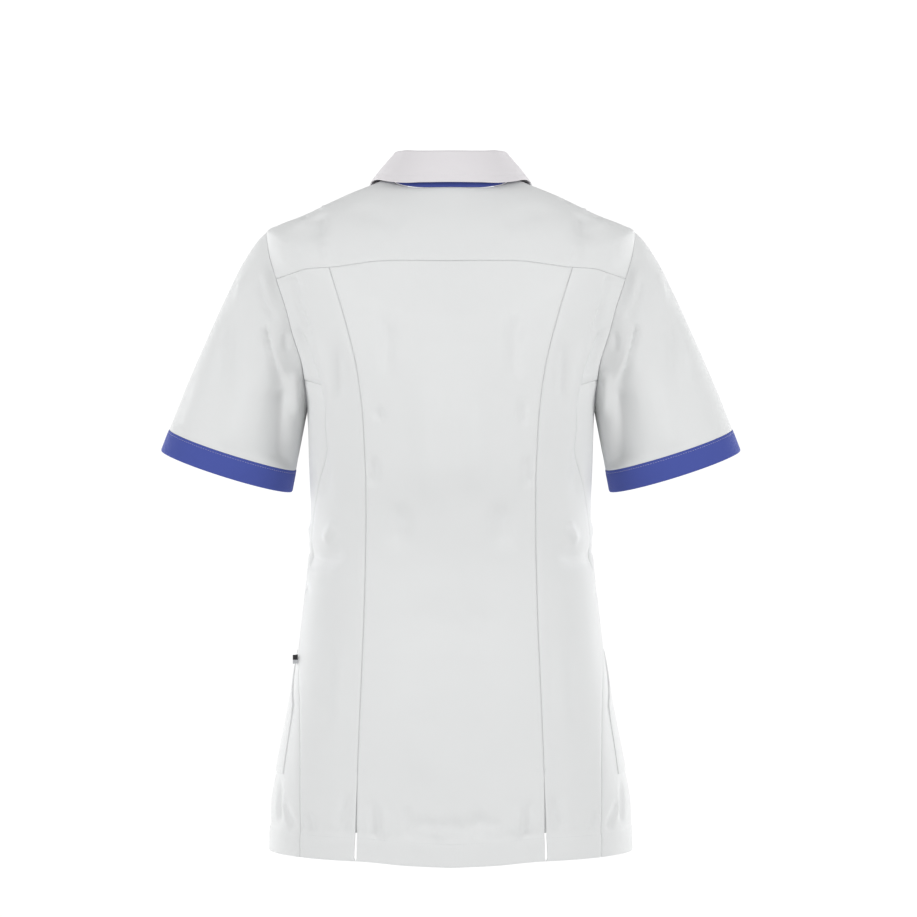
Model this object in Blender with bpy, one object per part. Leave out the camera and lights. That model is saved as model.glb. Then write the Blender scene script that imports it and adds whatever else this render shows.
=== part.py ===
"""Short-sleeved healthcare tunic jacket in its worn shape, hollow, with no wearer.

Metres, +Z up, the garment's front towards -Y and the wearer's left towards +X. The origin is midway
between the two side neck points, where the wearer's shoulders carry the garment.

The cloth of the body is one smooth surface, read by an angle round the body (0 at the centre back, 90 at
the wearer's left side, 180 at the centre front) and a level, which is the distance down the centre back
from the neck seam. Each panel is an outline on that surface, as a pattern piece is, with a thin wall.
"""

import math

import bmesh
import bpy
import numpy as np
from mathutils.geometry import delaunay_2d_cdt

# Cloth
WALL = 0.0014
TRIM_WALL = 0.0016
HALF_SEAM = 0.00015
TILE = 0.021
ANGLE_TO_LENGTH = 0.0025

# Body lengths along the centre back
HEM_LEVEL_COLUMNS = ("angle", "level")
HEM_LEVEL = (
    (0, 0.7200),
    (20, 0.7182),
    (40, 0.7150),
    (65, 0.7150),
    (90, 0.7165),
    (180, 0.7165),
)
LOWEST_LEVEL = 0.720
LEVEL_AT_ZERO_Z = 0.010
UNDERARM_LEVEL = 0.245

# The body's rings over the shoulders, from the neck seam down to the underarm
UPPER_RING_COLUMNS = (
    "level", "half_width", "back", "front", "side_z", "back_z", "front_z", "back_round", "front_round", "back_sweep",
)
UPPER_RINGS = (
    (0.000, 0.0680, 0.062, 0.118, 0.0120, -0.003, -0.1250, 2.1, 1.15, 5.0),
    (0.050, 0.1150, 0.088, 0.131, -0.0070, -0.046, -0.1470, 2.2, 1.60, 3.4),
    (0.100, 0.1580, 0.104, 0.140, -0.0277, -0.092, -0.1690, 2.3, 2.00, 3.0),
    (0.135, 0.1860, 0.111, 0.145, -0.0388, -0.126, -0.1850, 2.3, 2.20, 3.0),
    (0.150, 0.1972, 0.113, 0.147, -0.0455, -0.140, -0.1920, 2.3, 2.20, 3.0),
    (0.165, 0.1985, 0.116, 0.149, -0.0640, -0.156, -0.1990, 2.3, 2.20, 3.0),
    (0.180, 0.1935, 0.117, 0.150, -0.0960, -0.170, -0.2055, 2.3, 2.20, 3.0),
    (0.200, 0.1810, 0.119, 0.152, -0.1480, -0.190, -0.2145, 2.3, 2.20, 2.6),
    (0.222, 0.1635, 0.120, 0.153, -0.1980, -0.212, -0.2245, 2.3, 2.20, 2.2),
)
# The level rings below the underarm
LOWER_RING_COLUMNS = ("level", "half_width", "back", "front")
LOWER_RINGS = (
    (0.245, 0.1540, 0.121, 0.155),
    (0.300, 0.1523, 0.118, 0.151),
    (0.360, 0.1502, 0.106, 0.131),
    (0.410, 0.1535, 0.100, 0.117),
    (0.460, 0.1588, 0.105, 0.114),
    (0.510, 0.1648, 0.115, 0.118),
    (0.560, 0.1728, 0.123, 0.124),
    (0.625, 0.1855, 0.127, 0.130),
    (0.670, 0.1930, 0.128, 0.133),
    (0.720, 0.1945, 0.128, 0.135),
)
LOWER_ROUND = (2.3, 2.2, 2.0)

# The armhole, seen from the side: turn 0 at the shoulder tip, 90 at the back, 180 under the arm
ARMHOLE_COLUMNS = ("turn", "y", "z")
ARMHOLE = (
    (-30, -0.028, -0.0605),
    (0, 0.000, -0.0445),
    (30, 0.026, -0.0605),
    (60, 0.043, -0.0985),
    (90, 0.052, -0.1370),
    (120, 0.050, -0.1770),
    (150, 0.033, -0.2170),
    (180, 0.000, -0.2370),
    (210, -0.036, -0.2170),
    (240, -0.056, -0.1770),
    (270, -0.060, -0.1370),
    (300, -0.049, -0.0960),
    (330, -0.028, -0.0605),
    (360, 0.000, -0.0445),
)
ARMHOLE_STEP = 10
SHOULDER_SEAM_TURN = 340
YOKE_TURN = 60
SIDE_SEAM_TURN = 140
SHOULDER_SEAM_FORWARD_DEG = 3.0

# Seams on the back, as seen from behind: distance from the centre back, and height
YOKE_SEAM_COLUMNS = ("x", "z")
YOKE_SEAM = (
    (0.0000, -0.0829),
    (0.0563, -0.0823),
    (0.0769, -0.0830),
    (0.0923, -0.0848),
    (0.1270, -0.0892),
    (0.1499, -0.0902),
    (0.1640, -0.0937),
)
PRINCESS_SEAM_COLUMNS = ("x", "z")
PRINCESS_SEAM = (
    (0.1270, -0.0892),
    (0.1101, -0.1445),
    (0.0973, -0.1984),
    (0.0909, -0.2548),
    (0.0884, -0.3318),
    (0.0902, -0.4357),
    (0.0932, -0.5230),
    (0.0964, -0.6072),
    (0.0990, -0.7100),
)
VENT_TOP_Z = -0.612
VENT_HALF_GAP_AT_HEM = 0.0016

SIDE_SEAM_COLUMNS = ("level", "angle")
SIDE_SEAM = (
    (0.228, 67.5),
    (0.236, 63.0),
    (0.245, 61.7),
    (0.263, 62.0),
    (0.295, 64.4),
    (0.321, 68.8),
    (0.344, 73.8),
    (0.368, 78.5),
    (0.420, 82.5),
    (0.480, 83.0),
    (0.508, 80.1),
    (0.525, 76.9),
    (0.554, 71.5),
    (0.594, 66.8),
    (0.626, 64.3),
    (0.676, 62.1),
    (0.720, 61.8),
)

# Front opening and its buttons
BAND_HALF_WIDTH = 0.016
BAND_PROUD = 0.0005
BUTTON_COUNT = 6
FIRST_BUTTON_Z = -0.150
BUTTON_PITCH = 0.082
BUTTON_RADIUS = 0.0075
BUTTON_HEIGHT = 0.0028
BUTTON_RIM = 0.0013
BUTTON_DISH = 0.0008

# Hip pocket, by its corners on the front
POCKET_COLUMNS = ("angle", "level")
POCKET_CORNERS = (
    (137.0, 0.478),
    (137.0, 0.636),
    (74.0, 0.632),
    (76.0, 0.560),
    (93.0, 0.505),
)
POCKET_SIDE_INSET_DEG = 1.5

# Sleeve: its opening's centre, half sizes and slopes
CUFF_CENTRE = (0.2424, -0.0200, -0.3020)
CUFF_HALF_WIDTH = 0.0739
CUFF_HALF_DEPTH = 0.0580
CUFF_SLOPE = math.radians(17.7)
CUFF_BACK_DROP = 0.0055
CUFF_BAND = 0.0245
CUFF_PROUD = 0.0006
SLEEVE_PUFF_COLUMNS = ("share", "out")
SLEEVE_PUFF = (
    (0.00, 0.0000),
    (0.04, 0.0042),
    (0.08, 0.0064),
    (0.20, 0.0093),
    (0.35, 0.0090),
    (0.50, 0.0079),
    (0.70, 0.0060),
    (0.85, 0.0033),
    (1.00, 0.0000),
)
SLEEVE_ROWS = 9

# Collar: the fold's place from the neck seam, and the outer edge's place from a point of the body
COLLAR_COLUMNS = ("angle", "rise", "inward", "forward", "edge_angle", "edge_level", "edge_out", "edge_up")
COLLAR = (
    (0, 0.0355, 0.006, 0.000, 0, 0.000, 0.0055, 0.0052),
    (25, 0.0355, 0.006, 0.000, 25, 0.000, 0.0055, 0.0052),
    (45, 0.0345, 0.006, 0.000, 45, 0.002, 0.0050, 0.0048),
    (65, 0.0290, 0.0075, 0.001, 65, 0.007, 0.0040, 0.0042),
    (90, 0.0215, 0.009, 0.002, 90, 0.0170, 0.0010, 0.0034),
    (107, 0.0198, 0.008, 0.004, 105, 0.0290, 0.0014, 0.0030),
    (125, 0.0175, 0.006, 0.007, 121, 0.044, 0.0022, 0.0028),
    (150, 0.0120, 0.002, 0.008, 141, 0.056, 0.0025, 0.0025),
    (171, 0.0070, 0.001, 0.007, 155, 0.064, 0.0025, 0.0025),
)
COLLAR_COLUMNS_OF_POINTS = 39
COLLAR_WALL = 0.0012
FOLD_RADIUS = 0.0034
COLLAR_BULGE = 0.0012
STAND_CLEARANCE = 0.0005
STAND_INTO_FOLD = 0.0017

# Tab of folded tape in the left side seam
TAB_Z = -0.5020
TAB_HEIGHT = 0.0095
TAB_REACH = 0.0055
TAB_THICKNESS = 0.0012

COLOURS = {
    "white_cloth": (0.80, 0.81, 0.81, 1.0),
    "blue_cloth": (0.055, 0.085, 0.42, 1.0),
    "button": (0.86, 0.86, 0.84, 1.0),
    "tab_tape": (0.05, 0.05, 0.05, 1.0),
}


def clear_scene():
    for thing in list(bpy.data.objects):
        bpy.data.objects.remove(thing)


def material(name):
    made = bpy.data.materials.get(name) or bpy.data.materials.new(name)
    made.use_nodes = True
    surface = made.node_tree.nodes["Principled BSDF"]
    surface.inputs["Base Color"].default_value = COLOURS[name]
    surface.inputs["Roughness"].default_value = 0.35 if name == "button" else 0.85
    surface.inputs["Metallic"].default_value = 0.0
    return made


def column(columns, rows, name):
    return np.array([row[columns.index(name)] for row in rows], float)


def smooth(knots, values, at):
    """Cubic curve through the values at the knots, read at any places. It never overshoots a value."""
    at = np.clip(np.asarray(at, float), knots[0], knots[-1])
    steps = np.diff(knots)
    rises = np.diff(values) / steps
    slopes = np.zeros(len(values))
    slopes[0], slopes[-1] = rises[0], rises[-1]
    before, after = rises[:-1], rises[1:]
    weight = (2 * steps[1:] + steps[:-1], steps[1:] + 2 * steps[:-1])
    turning = before * after <= 0
    before, after = np.where(turning, 1.0, before), np.where(turning, 1.0, after)
    slopes[1:-1] = np.where(turning, 0.0, sum(weight) / (weight[0] / before + weight[1] / after))
    cell = np.clip(np.searchsorted(knots, at, side="right") - 1, 0, len(steps) - 1)
    step = steps[cell]
    t = (at - knots[cell]) / step
    return (
        values[cell] * (1 + 2 * t) * (1 - t) ** 2
        + slopes[cell] * step * t * (1 - t) ** 2
        + values[cell + 1] * t * t * (3 - 2 * t)
        + slopes[cell + 1] * step * t * t * (t - 1)
    )


def read_table(columns, rows, by, name, at):
    return smooth(column(columns, rows, by), column(columns, rows, name), at)


def all_rings():
    """Every ring of the body with the upper rings' columns: a lower ring is level, so its z follows."""
    rows = [list(row) for row in UPPER_RINGS]
    for level, half_width, back, front in LOWER_RINGS:
        z = LEVEL_AT_ZERO_Z - level
        rows.append([level, half_width, back, front, z, z, z, *LOWER_ROUND])
    return rows


RINGS = all_rings()


def hem_level(angle):
    return read_table(HEM_LEVEL_COLUMNS, HEM_LEVEL, "angle", "level", np.abs(angle))


def body(angle, level):
    """Outer face of the body's cloth, as points, at angles in degrees and levels in metres."""
    angle, level = np.broadcast_arrays(np.asarray(angle, float), np.asarray(level, float))
    size = {name: read_table(UPPER_RING_COLUMNS, RINGS, "level", name, level) for name in UPPER_RING_COLUMNS[1:]}
    turn = np.radians(angle)
    across, along = np.sin(turn), np.cos(turn)
    behind = along >= 0
    depth = np.where(behind, size["back"], size["front"])
    roundness = np.where(behind, size["back_round"], size["front_round"])
    end_z = np.where(behind, size["back_z"], size["front_z"])
    reach = (np.abs(along) / depth) ** roundness + (np.abs(across) / size["half_width"]) ** roundness
    radius = reach ** (-1 / roundness)
    sweep = np.where(behind, size["back_sweep"], 2.0)
    z = size["side_z"] + (end_z - size["side_z"]) * (1 - np.abs(across) ** sweep)
    return np.stack([radius * across, radius * along, z], -1)


def body_slopes(angle, level):
    """How the body's points move with the angle, in metres a degree, and with the level."""
    small_angle, small_level = 0.05, 0.0002
    level = np.clip(level, small_level, LOWEST_LEVEL - small_level)
    by_angle = (body(angle + small_angle, level) - body(angle - small_angle, level)) / (2 * small_angle)
    by_level = (body(angle, level + small_level) - body(angle, level - small_level)) / (2 * small_level)
    return by_angle, by_level


def unit(vectors):
    return vectors / np.linalg.norm(vectors, axis=-1, keepdims=True)


def body_normal(angle, level):
    by_angle, by_level = body_slopes(angle, level)
    return unit(np.cross(by_angle, by_level))


def find_on_body(axes, targets, angle, level):
    """Angles and levels where two coordinates of the body have the target values, from a first guess."""
    for _ in range(30):
        missing = targets - body(angle, level)[:, axes]
        by_angle, by_level = body_slopes(angle, level)
        slope = np.stack([by_angle[:, axes], by_level[:, axes]], -1)
        step = np.linalg.solve(slope, missing[..., None])[..., 0]
        angle = angle + np.clip(step[:, 0], -6, 6)
        level = np.clip(level + np.clip(step[:, 1], -0.02, 0.02), 0.0005, LOWEST_LEVEL)
    return angle, level


def back_seam(columns, rows, count):
    """A seam that is given as seen from behind, as angles and levels, evenly spaced along it."""
    x, z = column(columns, rows, "x"), column(columns, rows, "z")
    run = np.concatenate([[0], np.cumsum(np.hypot(np.diff(x), np.diff(z)))])
    at = np.linspace(0, run[-1], count)
    wanted = np.stack([smooth(run, x, at), smooth(run, z, at)], -1)
    angle = np.degrees(np.arctan2(wanted[:, 0], 0.10))
    level = LEVEL_AT_ZERO_Z - wanted[:, 1]
    return np.stack(find_on_body([0, 2], wanted, angle, level), -1)


def armhole(turns):
    """The left armhole's seam as angles and levels, at turns in degrees round it."""
    turns = (np.asarray(turns, float) + 30) % 360 - 30
    target = np.stack([read_table(ARMHOLE_COLUMNS, ARMHOLE, "turn", name, turns) for name in ("y", "z")], -1)
    first_angle = 90 - target[:, 0] * 330
    first_level = np.interp(-target[:, 1], (0.04, 0.12, 0.22), (0.148, 0.188, 0.235))
    return np.stack(find_on_body([1, 2], target, first_angle, first_level), -1)


def cuff_ring(turns):
    """The sleeve's lower edge on the left, at turns in degrees: 0 outside, 90 at the back."""
    turn = np.radians(turns)
    outward = np.array([math.cos(CUFF_SLOPE), 0, math.sin(CUFF_SLOPE)])
    downward = np.array([math.sin(CUFF_SLOPE), 0, -math.cos(CUFF_SLOPE)])
    backward = np.array([0, 1, 0])
    return (
        np.array(CUFF_CENTRE)
        + CUFF_HALF_WIDTH * np.cos(turn)[..., None] * outward
        + CUFF_HALF_DEPTH * np.sin(turn)[..., None] * backward
        + CUFF_BACK_DROP * np.sin(turn)[..., None] * downward
    )


def armhole_walls(turns):
    """The left armhole's seam, and how the body's wall and the sleeve's go inwards from it, so that their edges
    meet evenly where the cloth bends over the shoulder. Under the arm, where it folds back, each keeps its own way."""
    seam = armhole(turns)
    points = body(*seam.T)
    ahead, behind = armhole(np.asarray(turns) + 1.0), armhole(np.asarray(turns) - 1.0)
    around = body(*ahead.T) - body(*behind.T)
    out_of_body = body_normal(*seam.T)
    first = 0.04
    down = first * (cuff_ring(turns) - points) + sleeve_puff(turns, np.full(len(points), first))
    out_of_sleeve = unit(np.cross(down, around))
    together = np.sum(out_of_body * out_of_sleeve, -1, keepdims=True)
    share = np.clip((together + 0.2) / 0.6, 0, 1)
    body_wall = unit(out_of_body + share * out_of_sleeve)
    body_wall /= -np.sum(body_wall * out_of_body, -1, keepdims=True)
    sleeve_wall = unit(out_of_sleeve + share * out_of_body)
    sleeve_wall /= -np.sum(sleeve_wall * out_of_sleeve, -1, keepdims=True)
    start = points + (1 - share) * 2 * HALF_SEAM * out_of_body
    return seam, body_wall, start, sleeve_wall


def sleeve_puff(turns, share):
    """How far the sleeve stands out of the straight line from armhole to cuff."""
    outside = np.array([math.cos(CUFF_SLOPE), 0, math.sin(CUFF_SLOPE)])
    out = read_table(SLEEVE_PUFF_COLUMNS, SLEEVE_PUFF, "share", "out", share)
    return (np.clip(np.cos(np.radians(turns)), 0, None) * out)[:, None] * outside


def sleeve_points(turns, shares):
    """The left sleeve's outer face, a row for each share of its length, which may differ from turn to turn."""
    start, end = armhole_walls(turns)[2], cuff_ring(turns)
    rows = []
    for share in shares:
        share = np.broadcast_to(share, len(turns))
        along = share[:, None]
        rows.append(start * (1 - along) + end * along + sleeve_puff(turns, share))
    return np.array(rows)


def solid(name, corners, faces, slot, smooth_angle=40):
    mesh = bpy.data.meshes.new(name)
    mesh.from_pydata([tuple(p) for p in corners], [], [tuple(int(i) for i in f) for f in faces])
    mesh.validate()
    mesh.materials.append(material(slot))
    mesh.shade_smooth()
    mesh.set_sharp_from_angle(angle=math.radians(smooth_angle))
    made = bpy.data.objects.new(name, mesh)
    bpy.context.scene.collection.objects.link(made)
    return made


def mirrored(corners, faces):
    """The same wall on the other side of the body."""
    return corners * np.array([-1, 1, 1]), [tuple(reversed(f)) for f in faces]


def grid_normals(points, closed):
    """Outward normals of a grid whose rows go down and whose columns go round by the angle."""
    down = np.gradient(points, axis=0)
    if closed:
        across = np.roll(points, -1, 1) - np.roll(points, 1, 1)
    else:
        across = np.gradient(points, axis=1)
    return unit(np.cross(across, down))


def grid_wall(points, wall, closed, first_row=None):
    """Corners and faces of a wall whose outer face is a grid of points: closed joins its last column to its first,
    and first_row holds the ways inwards of the first row's points."""
    rows, columns = points.shape[:2]
    inwards = -grid_normals(points, closed)
    if first_row is not None:
        inwards[0] = first_row
    corners = np.concatenate([points.reshape(-1, 3), (points + wall * inwards).reshape(-1, 3)])
    under = rows * columns
    faces = []
    spans = columns if closed else columns - 1
    for r in range(rows - 1):
        for c in range(spans):
            a, b = r * columns + c, r * columns + (c + 1) % columns
            d, e = a + columns, b + columns
            faces += [(a, b, e), (a, e, d), (a + under, e + under, b + under), (a + under, d + under, e + under)]
    for c in range(spans):
        a, b = c, (c + 1) % columns
        d, e = a + (rows - 1) * columns, b + (rows - 1) * columns
        faces += [(a, a + under, b + under, b), (d, e, e + under, d + under)]
    if not closed:
        for r in range(rows - 1):
            a, d = r * columns, (r + 1) * columns
            b, e = a + columns - 1, d + columns - 1
            faces += [(a, d, d + under, a + under), (b, b + under, e + under, e)]
    return corners, faces


def seam_run(places, half_gap=HALF_SEAM, inwards=(0.0, 0.0, 0.0)):
    """Part of an outline, as rows of angle, level, half gap and the wall's way inwards, zero for straight in."""
    rows = np.empty((len(places), 6))
    rows[:, :2], rows[:, 2], rows[:, 3:] = places, half_gap, inwards
    return rows


def mirror_run(run):
    """The same part of an outline on the other side of the body, in the other direction."""
    flipped = run[::-1].copy()
    flipped[:, [0, 3]] *= -1
    return flipped


def armhole_run(first, last):
    turns = np.arange(first, last + 1, ARMHOLE_STEP)
    seam, body_wall, _, _ = armhole_walls(turns)
    return seam_run(seam, inwards=body_wall)


def outline_of(*runs):
    """Joins parts of an outline, end to start, into one closed outline."""
    rows = []
    for run in runs:
        for row in run:
            if rows and np.abs(rows[-1][:2] - row[:2]).max() < 1e-7:
                rows[-1][2] = min(rows[-1][2], row[2])
                rows[-1][3:] = row[3:] if not rows[-1][3:].any() else rows[-1][3:]
            else:
                rows.append(row.copy())
    if np.abs(rows[0][:2] - rows[-1][:2]).max() < 1e-7:
        last = rows.pop()
        rows[0][3:] = last[3:] if not rows[0][3:].any() else rows[0][3:]
    return np.array(rows)


def hem_line(first_angle, last_angle):
    """Part of the hem, with the cloth cut straight across."""
    count = round(abs(last_angle - first_angle) * ANGLE_TO_LENGTH / TILE) + 1
    angles = np.linspace(first_angle, last_angle, count)
    return seam_run(np.stack([angles, hem_level(angles)], -1), 0.0)


def level_line(first_angle, last_angle, level, half_gap=0.0):
    count = max(2, round(abs(last_angle - first_angle) * ANGLE_TO_LENGTH / TILE) + 1)
    return seam_run(np.stack([np.linspace(first_angle, last_angle, count), np.full(count, level)], -1), half_gap)


def drawn_in(outline):
    """The outline's places moved in by its half gaps, measured on the cloth."""
    angle, level, gap = outline[:, :3].T
    by_angle, by_level = body_slopes(angle, level)
    normal = unit(np.cross(by_angle, by_level))
    step = np.roll(outline[:, :2], -1, 0) - outline[:, :2]
    ahead = unit(by_angle * step[:, :1] + by_level * step[:, 1:])
    step = outline[:, :2] - np.roll(outline[:, :2], 1, 0)
    behind = unit(by_angle * step[:, :1] + by_level * step[:, 1:])
    inward_ahead, inward_behind = np.cross(normal, ahead), np.cross(normal, behind)
    share = 1 + np.sum(inward_ahead * inward_behind, -1, keepdims=True)
    move = (inward_ahead + inward_behind) / np.maximum(share, 0.35) * gap[:, None]
    slope = np.stack([by_angle, by_level], -1)
    change = np.linalg.solve(
        np.einsum("nij,nik->njk", slope, slope), np.einsum("nij,ni->nj", slope, move)[..., None]
    )
    return outline[:, :2] + change[..., 0]


def inside(loop, points):
    """Which flat points lie inside a closed flat loop."""
    hit = np.zeros(len(points), bool)
    for (x1, y1), (x2, y2) in zip(loop, np.roll(loop, -1, 0)):
        if y1 == y2:
            continue
        between = (points[:, 1] >= min(y1, y2)) & (points[:, 1] < max(y1, y2))
        hit ^= between & (points[:, 0] < x1 + (points[:, 1] - y1) * (x2 - x1) / (y2 - y1))
    return hit


def distance_to(loop, points):
    nearest = np.full(len(points), np.inf)
    for start, end in zip(loop, np.roll(loop, -1, 0)):
        run = end - start
        share = np.clip((points - start) @ run / max(run @ run, 1e-12), 0, 1)
        nearest = np.minimum(nearest, np.linalg.norm(points - start - share[:, None] * run, axis=1))
    return nearest


def flat(points):
    return np.asarray(points, float) * np.array([ANGLE_TO_LENGTH, 1.0])


def tiled(loops):
    """Triangles over the first loop, which follow the edges of the others too: the places, which loop point each
    place is, and each triangle with the loops that hold it."""
    edges = [flat(loop) for loop in loops]
    low, high = edges[0].min(0), edges[0].max(0)
    across = np.arange(low[0], high[0], TILE)
    down = np.arange(low[1], high[1], TILE)
    grid = np.stack(np.meshgrid(across, down), -1)
    grid[1::2, :, 0] += TILE / 2
    grid = grid.reshape(-1, 2)
    grid = grid[inside(edges[0], grid)]
    for edge in edges:
        grid = grid[distance_to(edge, grid) > 0.55 * TILE]
    corners = np.concatenate([*edges, grid])
    rings, start = [], 0
    for edge in edges:
        rings.append(list(range(start, start + len(edge))))
        start += len(edge)
    found = delaunay_2d_cdt([tuple(p) for p in corners], [], rings, 1, 1e-7, True)
    places = np.array([tuple(p) for p in found[0]]) / np.array([ANGLE_TO_LENGTH, 1.0])
    sources = [min(source) if source else None for source in found[3]]
    kept = [(tuple(face), set(held)) for face, held in zip(found[2], found[5]) if 0 in held]
    return places, sources, kept


def facing_out(places, faces):
    """The faces, each turned so that it points out of the body."""
    turned = []
    for face in faces:
        (x1, y1), (x2, y2), (x3, y3) = (places[i] for i in face)
        turned.append(face if (x2 - x1) * (y3 - y1) > (x3 - x1) * (y2 - y1) else tuple(reversed(face)))
    return turned


def cloth_wall(places, faces, wall, inwards=None, lift=0.0):
    """Corners and faces of a wall on the body: lift is the height of its inner face over the cloth, or 0 for the
    cloth itself, and inwards holds each place's way through the wall, with zero for straight in."""
    used = sorted({i for face in faces for i in face})
    number = {i: n for n, i in enumerate(used)}
    angle, level = places[used].T
    points, normal = body(angle, level), body_normal(angle, level)
    outside = points + (lift + wall) * normal if lift else points
    ways = -normal
    if inwards is not None:
        given = inwards[used]
        ways = np.where(np.abs(given).sum(-1, keepdims=True) > 0, given, ways)
    under = len(used)
    made, borders = [], set()
    for face in facing_out(places, faces):
        a, b, c = (number[i] for i in face)
        made += [(a, b, c), (a + under, c + under, b + under)]
        for start, end in ((a, b), (b, c), (c, a)):
            if (end, start) in borders:
                borders.remove((end, start))
            else:
                borders.add((start, end))
    made += [(a, a + under, b + under, b) for a, b in sorted(borders)]
    return np.concatenate([outside, outside + wall * ways]), made


def tiled_panel(outline, *inner_loops):
    """A panel's places, the wall's way inwards at each, and its triangles with the loops that hold each."""
    places, sources, faces = tiled([drawn_in(outline), *inner_loops])
    inwards = np.zeros((len(places), 3))
    for n, source in enumerate(sources):
        if source is not None and source < len(outline):
            inwards[n] = outline[source, 3:]
    return places, inwards, faces


def make_panel(name, outline, mirror_name=None):
    places, inwards, faces = tiled_panel(outline)
    wall = cloth_wall(places, [face for face, _ in faces], WALL, inwards)
    solid(name, *wall, "white_cloth")
    if mirror_name:
        solid(mirror_name, *mirrored(*wall), "white_cloth")


def side_seam(top, count=30):
    """The side seam from its top place to the hem."""
    levels = np.concatenate([[top[1]], column(SIDE_SEAM_COLUMNS, SIDE_SEAM, "level")])
    angles = np.concatenate([[top[0]], column(SIDE_SEAM_COLUMNS, SIDE_SEAM, "angle")])
    at = np.linspace(top[1], hem_level(angles[-1]), count)
    return seam_run(np.stack([smooth(levels, angles, at), at], -1))


def princess_seam():
    """The seam from the yoke to the hem, which opens as a vent below the vent's top."""
    places = back_seam(PRINCESS_SEAM_COLUMNS, PRINCESS_SEAM, 34)
    places[-1, 1] = hem_level(places[-1, 0])
    hem_z = LEVEL_AT_ZERO_Z - LOWEST_LEVEL
    opened = np.clip((VENT_TOP_Z - body(*places.T)[:, 2]) / (VENT_TOP_Z - hem_z), 0, 1)
    return seam_run(places, HALF_SEAM + opened * VENT_HALF_GAP_AT_HEM)


def yoke_seam(corner, end):
    """The seam from the centre back through the princess seam's top to the armhole, and which point is that top."""
    seam = back_seam(YOKE_SEAM_COLUMNS, YOKE_SEAM, 10)
    places = np.concatenate([seam, [end]])
    top = int(np.argmin(np.abs(places[:, 0] - corner[0])))
    places[top] = corner
    return seam_run(places), top


def band_edge(count=44):
    """The front band's left edge from the neck seam to the hem."""
    at = np.linspace(0.0, hem_level(180.0), count)
    angle = np.full(count, 172.0)
    for _ in range(20):
        x = body(angle, at)[:, 0]
        slope = (body(angle + 0.1, at)[:, 0] - x) / 0.1
        angle = angle + np.clip((BAND_HALF_WIDTH - x) / slope, -2, 2)
    return seam_run(np.stack([angle, at], -1))


def make_body_panels():
    upper_back = armhole_run(SHOULDER_SEAM_TURN - 360, YOKE_TURN)
    lower_back = armhole_run(YOKE_TURN, SIDE_SEAM_TURN)
    lower_front = armhole_run(SIDE_SEAM_TURN, SHOULDER_SEAM_TURN)
    princess = princess_seam()
    yoke, top = yoke_seam(princess[0, :2], lower_back[0, :2])
    side = side_seam(lower_back[-1, :2])
    edge = band_edge()
    tip = upper_back[0, :2]
    neck = np.array([tip[0] + SHOULDER_SEAM_FORWARD_DEG, 0.0])
    shoulder = seam_run(neck + np.linspace(0, 1, 8)[:, None] * (tip - neck))

    half_yoke = (shoulder, upper_back, yoke[::-1])
    make_panel(
        "back_yoke",
        outline_of(
            level_line(-neck[0], neck[0], 0.0), *half_yoke, *(mirror_run(run) for run in reversed(half_yoke))
        ),
    )
    make_panel(
        "back_centre",
        outline_of(
            mirror_run(yoke[: top + 1]),
            yoke[: top + 1],
            princess,
            hem_line(princess[-1, 0], -princess[-1, 0]),
            mirror_run(princess),
        ),
    )
    back_side = outline_of(
        yoke[top:], lower_back, side, hem_line(side[-1, 0], princess[-1, 0]), princess[::-1]
    )
    make_panel("back_side_left", back_side, mirror_name="back_side_right")
    make_fronts(
        outline_of(
            shoulder[::-1],
            level_line(neck[0], edge[0, 0], 0.0),
            edge,
            hem_line(edge[-1, 0], side[-1, 0]),
            side[::-1],
            lower_front,
        )
    )
    make_front_band(edge)


def pocket_outline():
    """The left hip pocket's outline, its corners joined by evenly spaced points."""
    corners = np.array(POCKET_CORNERS, float)
    rows = []
    for start, end in zip(corners, np.roll(corners, -1, 0)):
        count = max(1, round(np.linalg.norm(flat(end - start)) / TILE))
        rows += [start + (end - start) * n / count for n in range(count)]
    rows = np.array(rows)
    seam = read_table(SIDE_SEAM_COLUMNS, SIDE_SEAM, "level", "angle", rows[:, 1])
    rows[:, 0] = np.maximum(rows[:, 0], seam + POCKET_SIDE_INSET_DEG)
    return rows


def make_fronts(outline):
    """Both fronts, and the hip pockets, whose tiles are the fronts' own, moved out."""
    places, inwards, faces = tiled_panel(outline, pocket_outline())
    front = cloth_wall(places, [face for face, _ in faces], WALL, inwards)
    pocket = cloth_wall(places, [face for face, held in faces if 1 in held], WALL, lift=2 * HALF_SEAM)
    for name, wall in (("front", front), ("hip_pocket", pocket)):
        solid(f"{name}_left", *wall, "white_cloth")
        solid(f"{name}_right", *mirrored(*wall), "white_cloth")


def make_front_band(edge):
    """The straight band down the centre front, with its buttons on it."""
    shares = np.linspace(-1, 1, 5)
    rows = []
    for angle, level in edge[:, :2]:
        half = (180 - angle) - math.degrees(2 * HALF_SEAM / 0.12)
        at = 180 + shares * half
        rows.append(body(at, np.full(5, level)) + BAND_PROUD * body_normal(at, np.full(5, level)))
    corners, faces = grid_wall(np.array(rows), WALL + BAND_PROUD, closed=False)
    solid("front_band", corners, faces, "white_cloth")
    for number in range(BUTTON_COUNT):
        make_button(number, FIRST_BUTTON_Z - number * BUTTON_PITCH)


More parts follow.
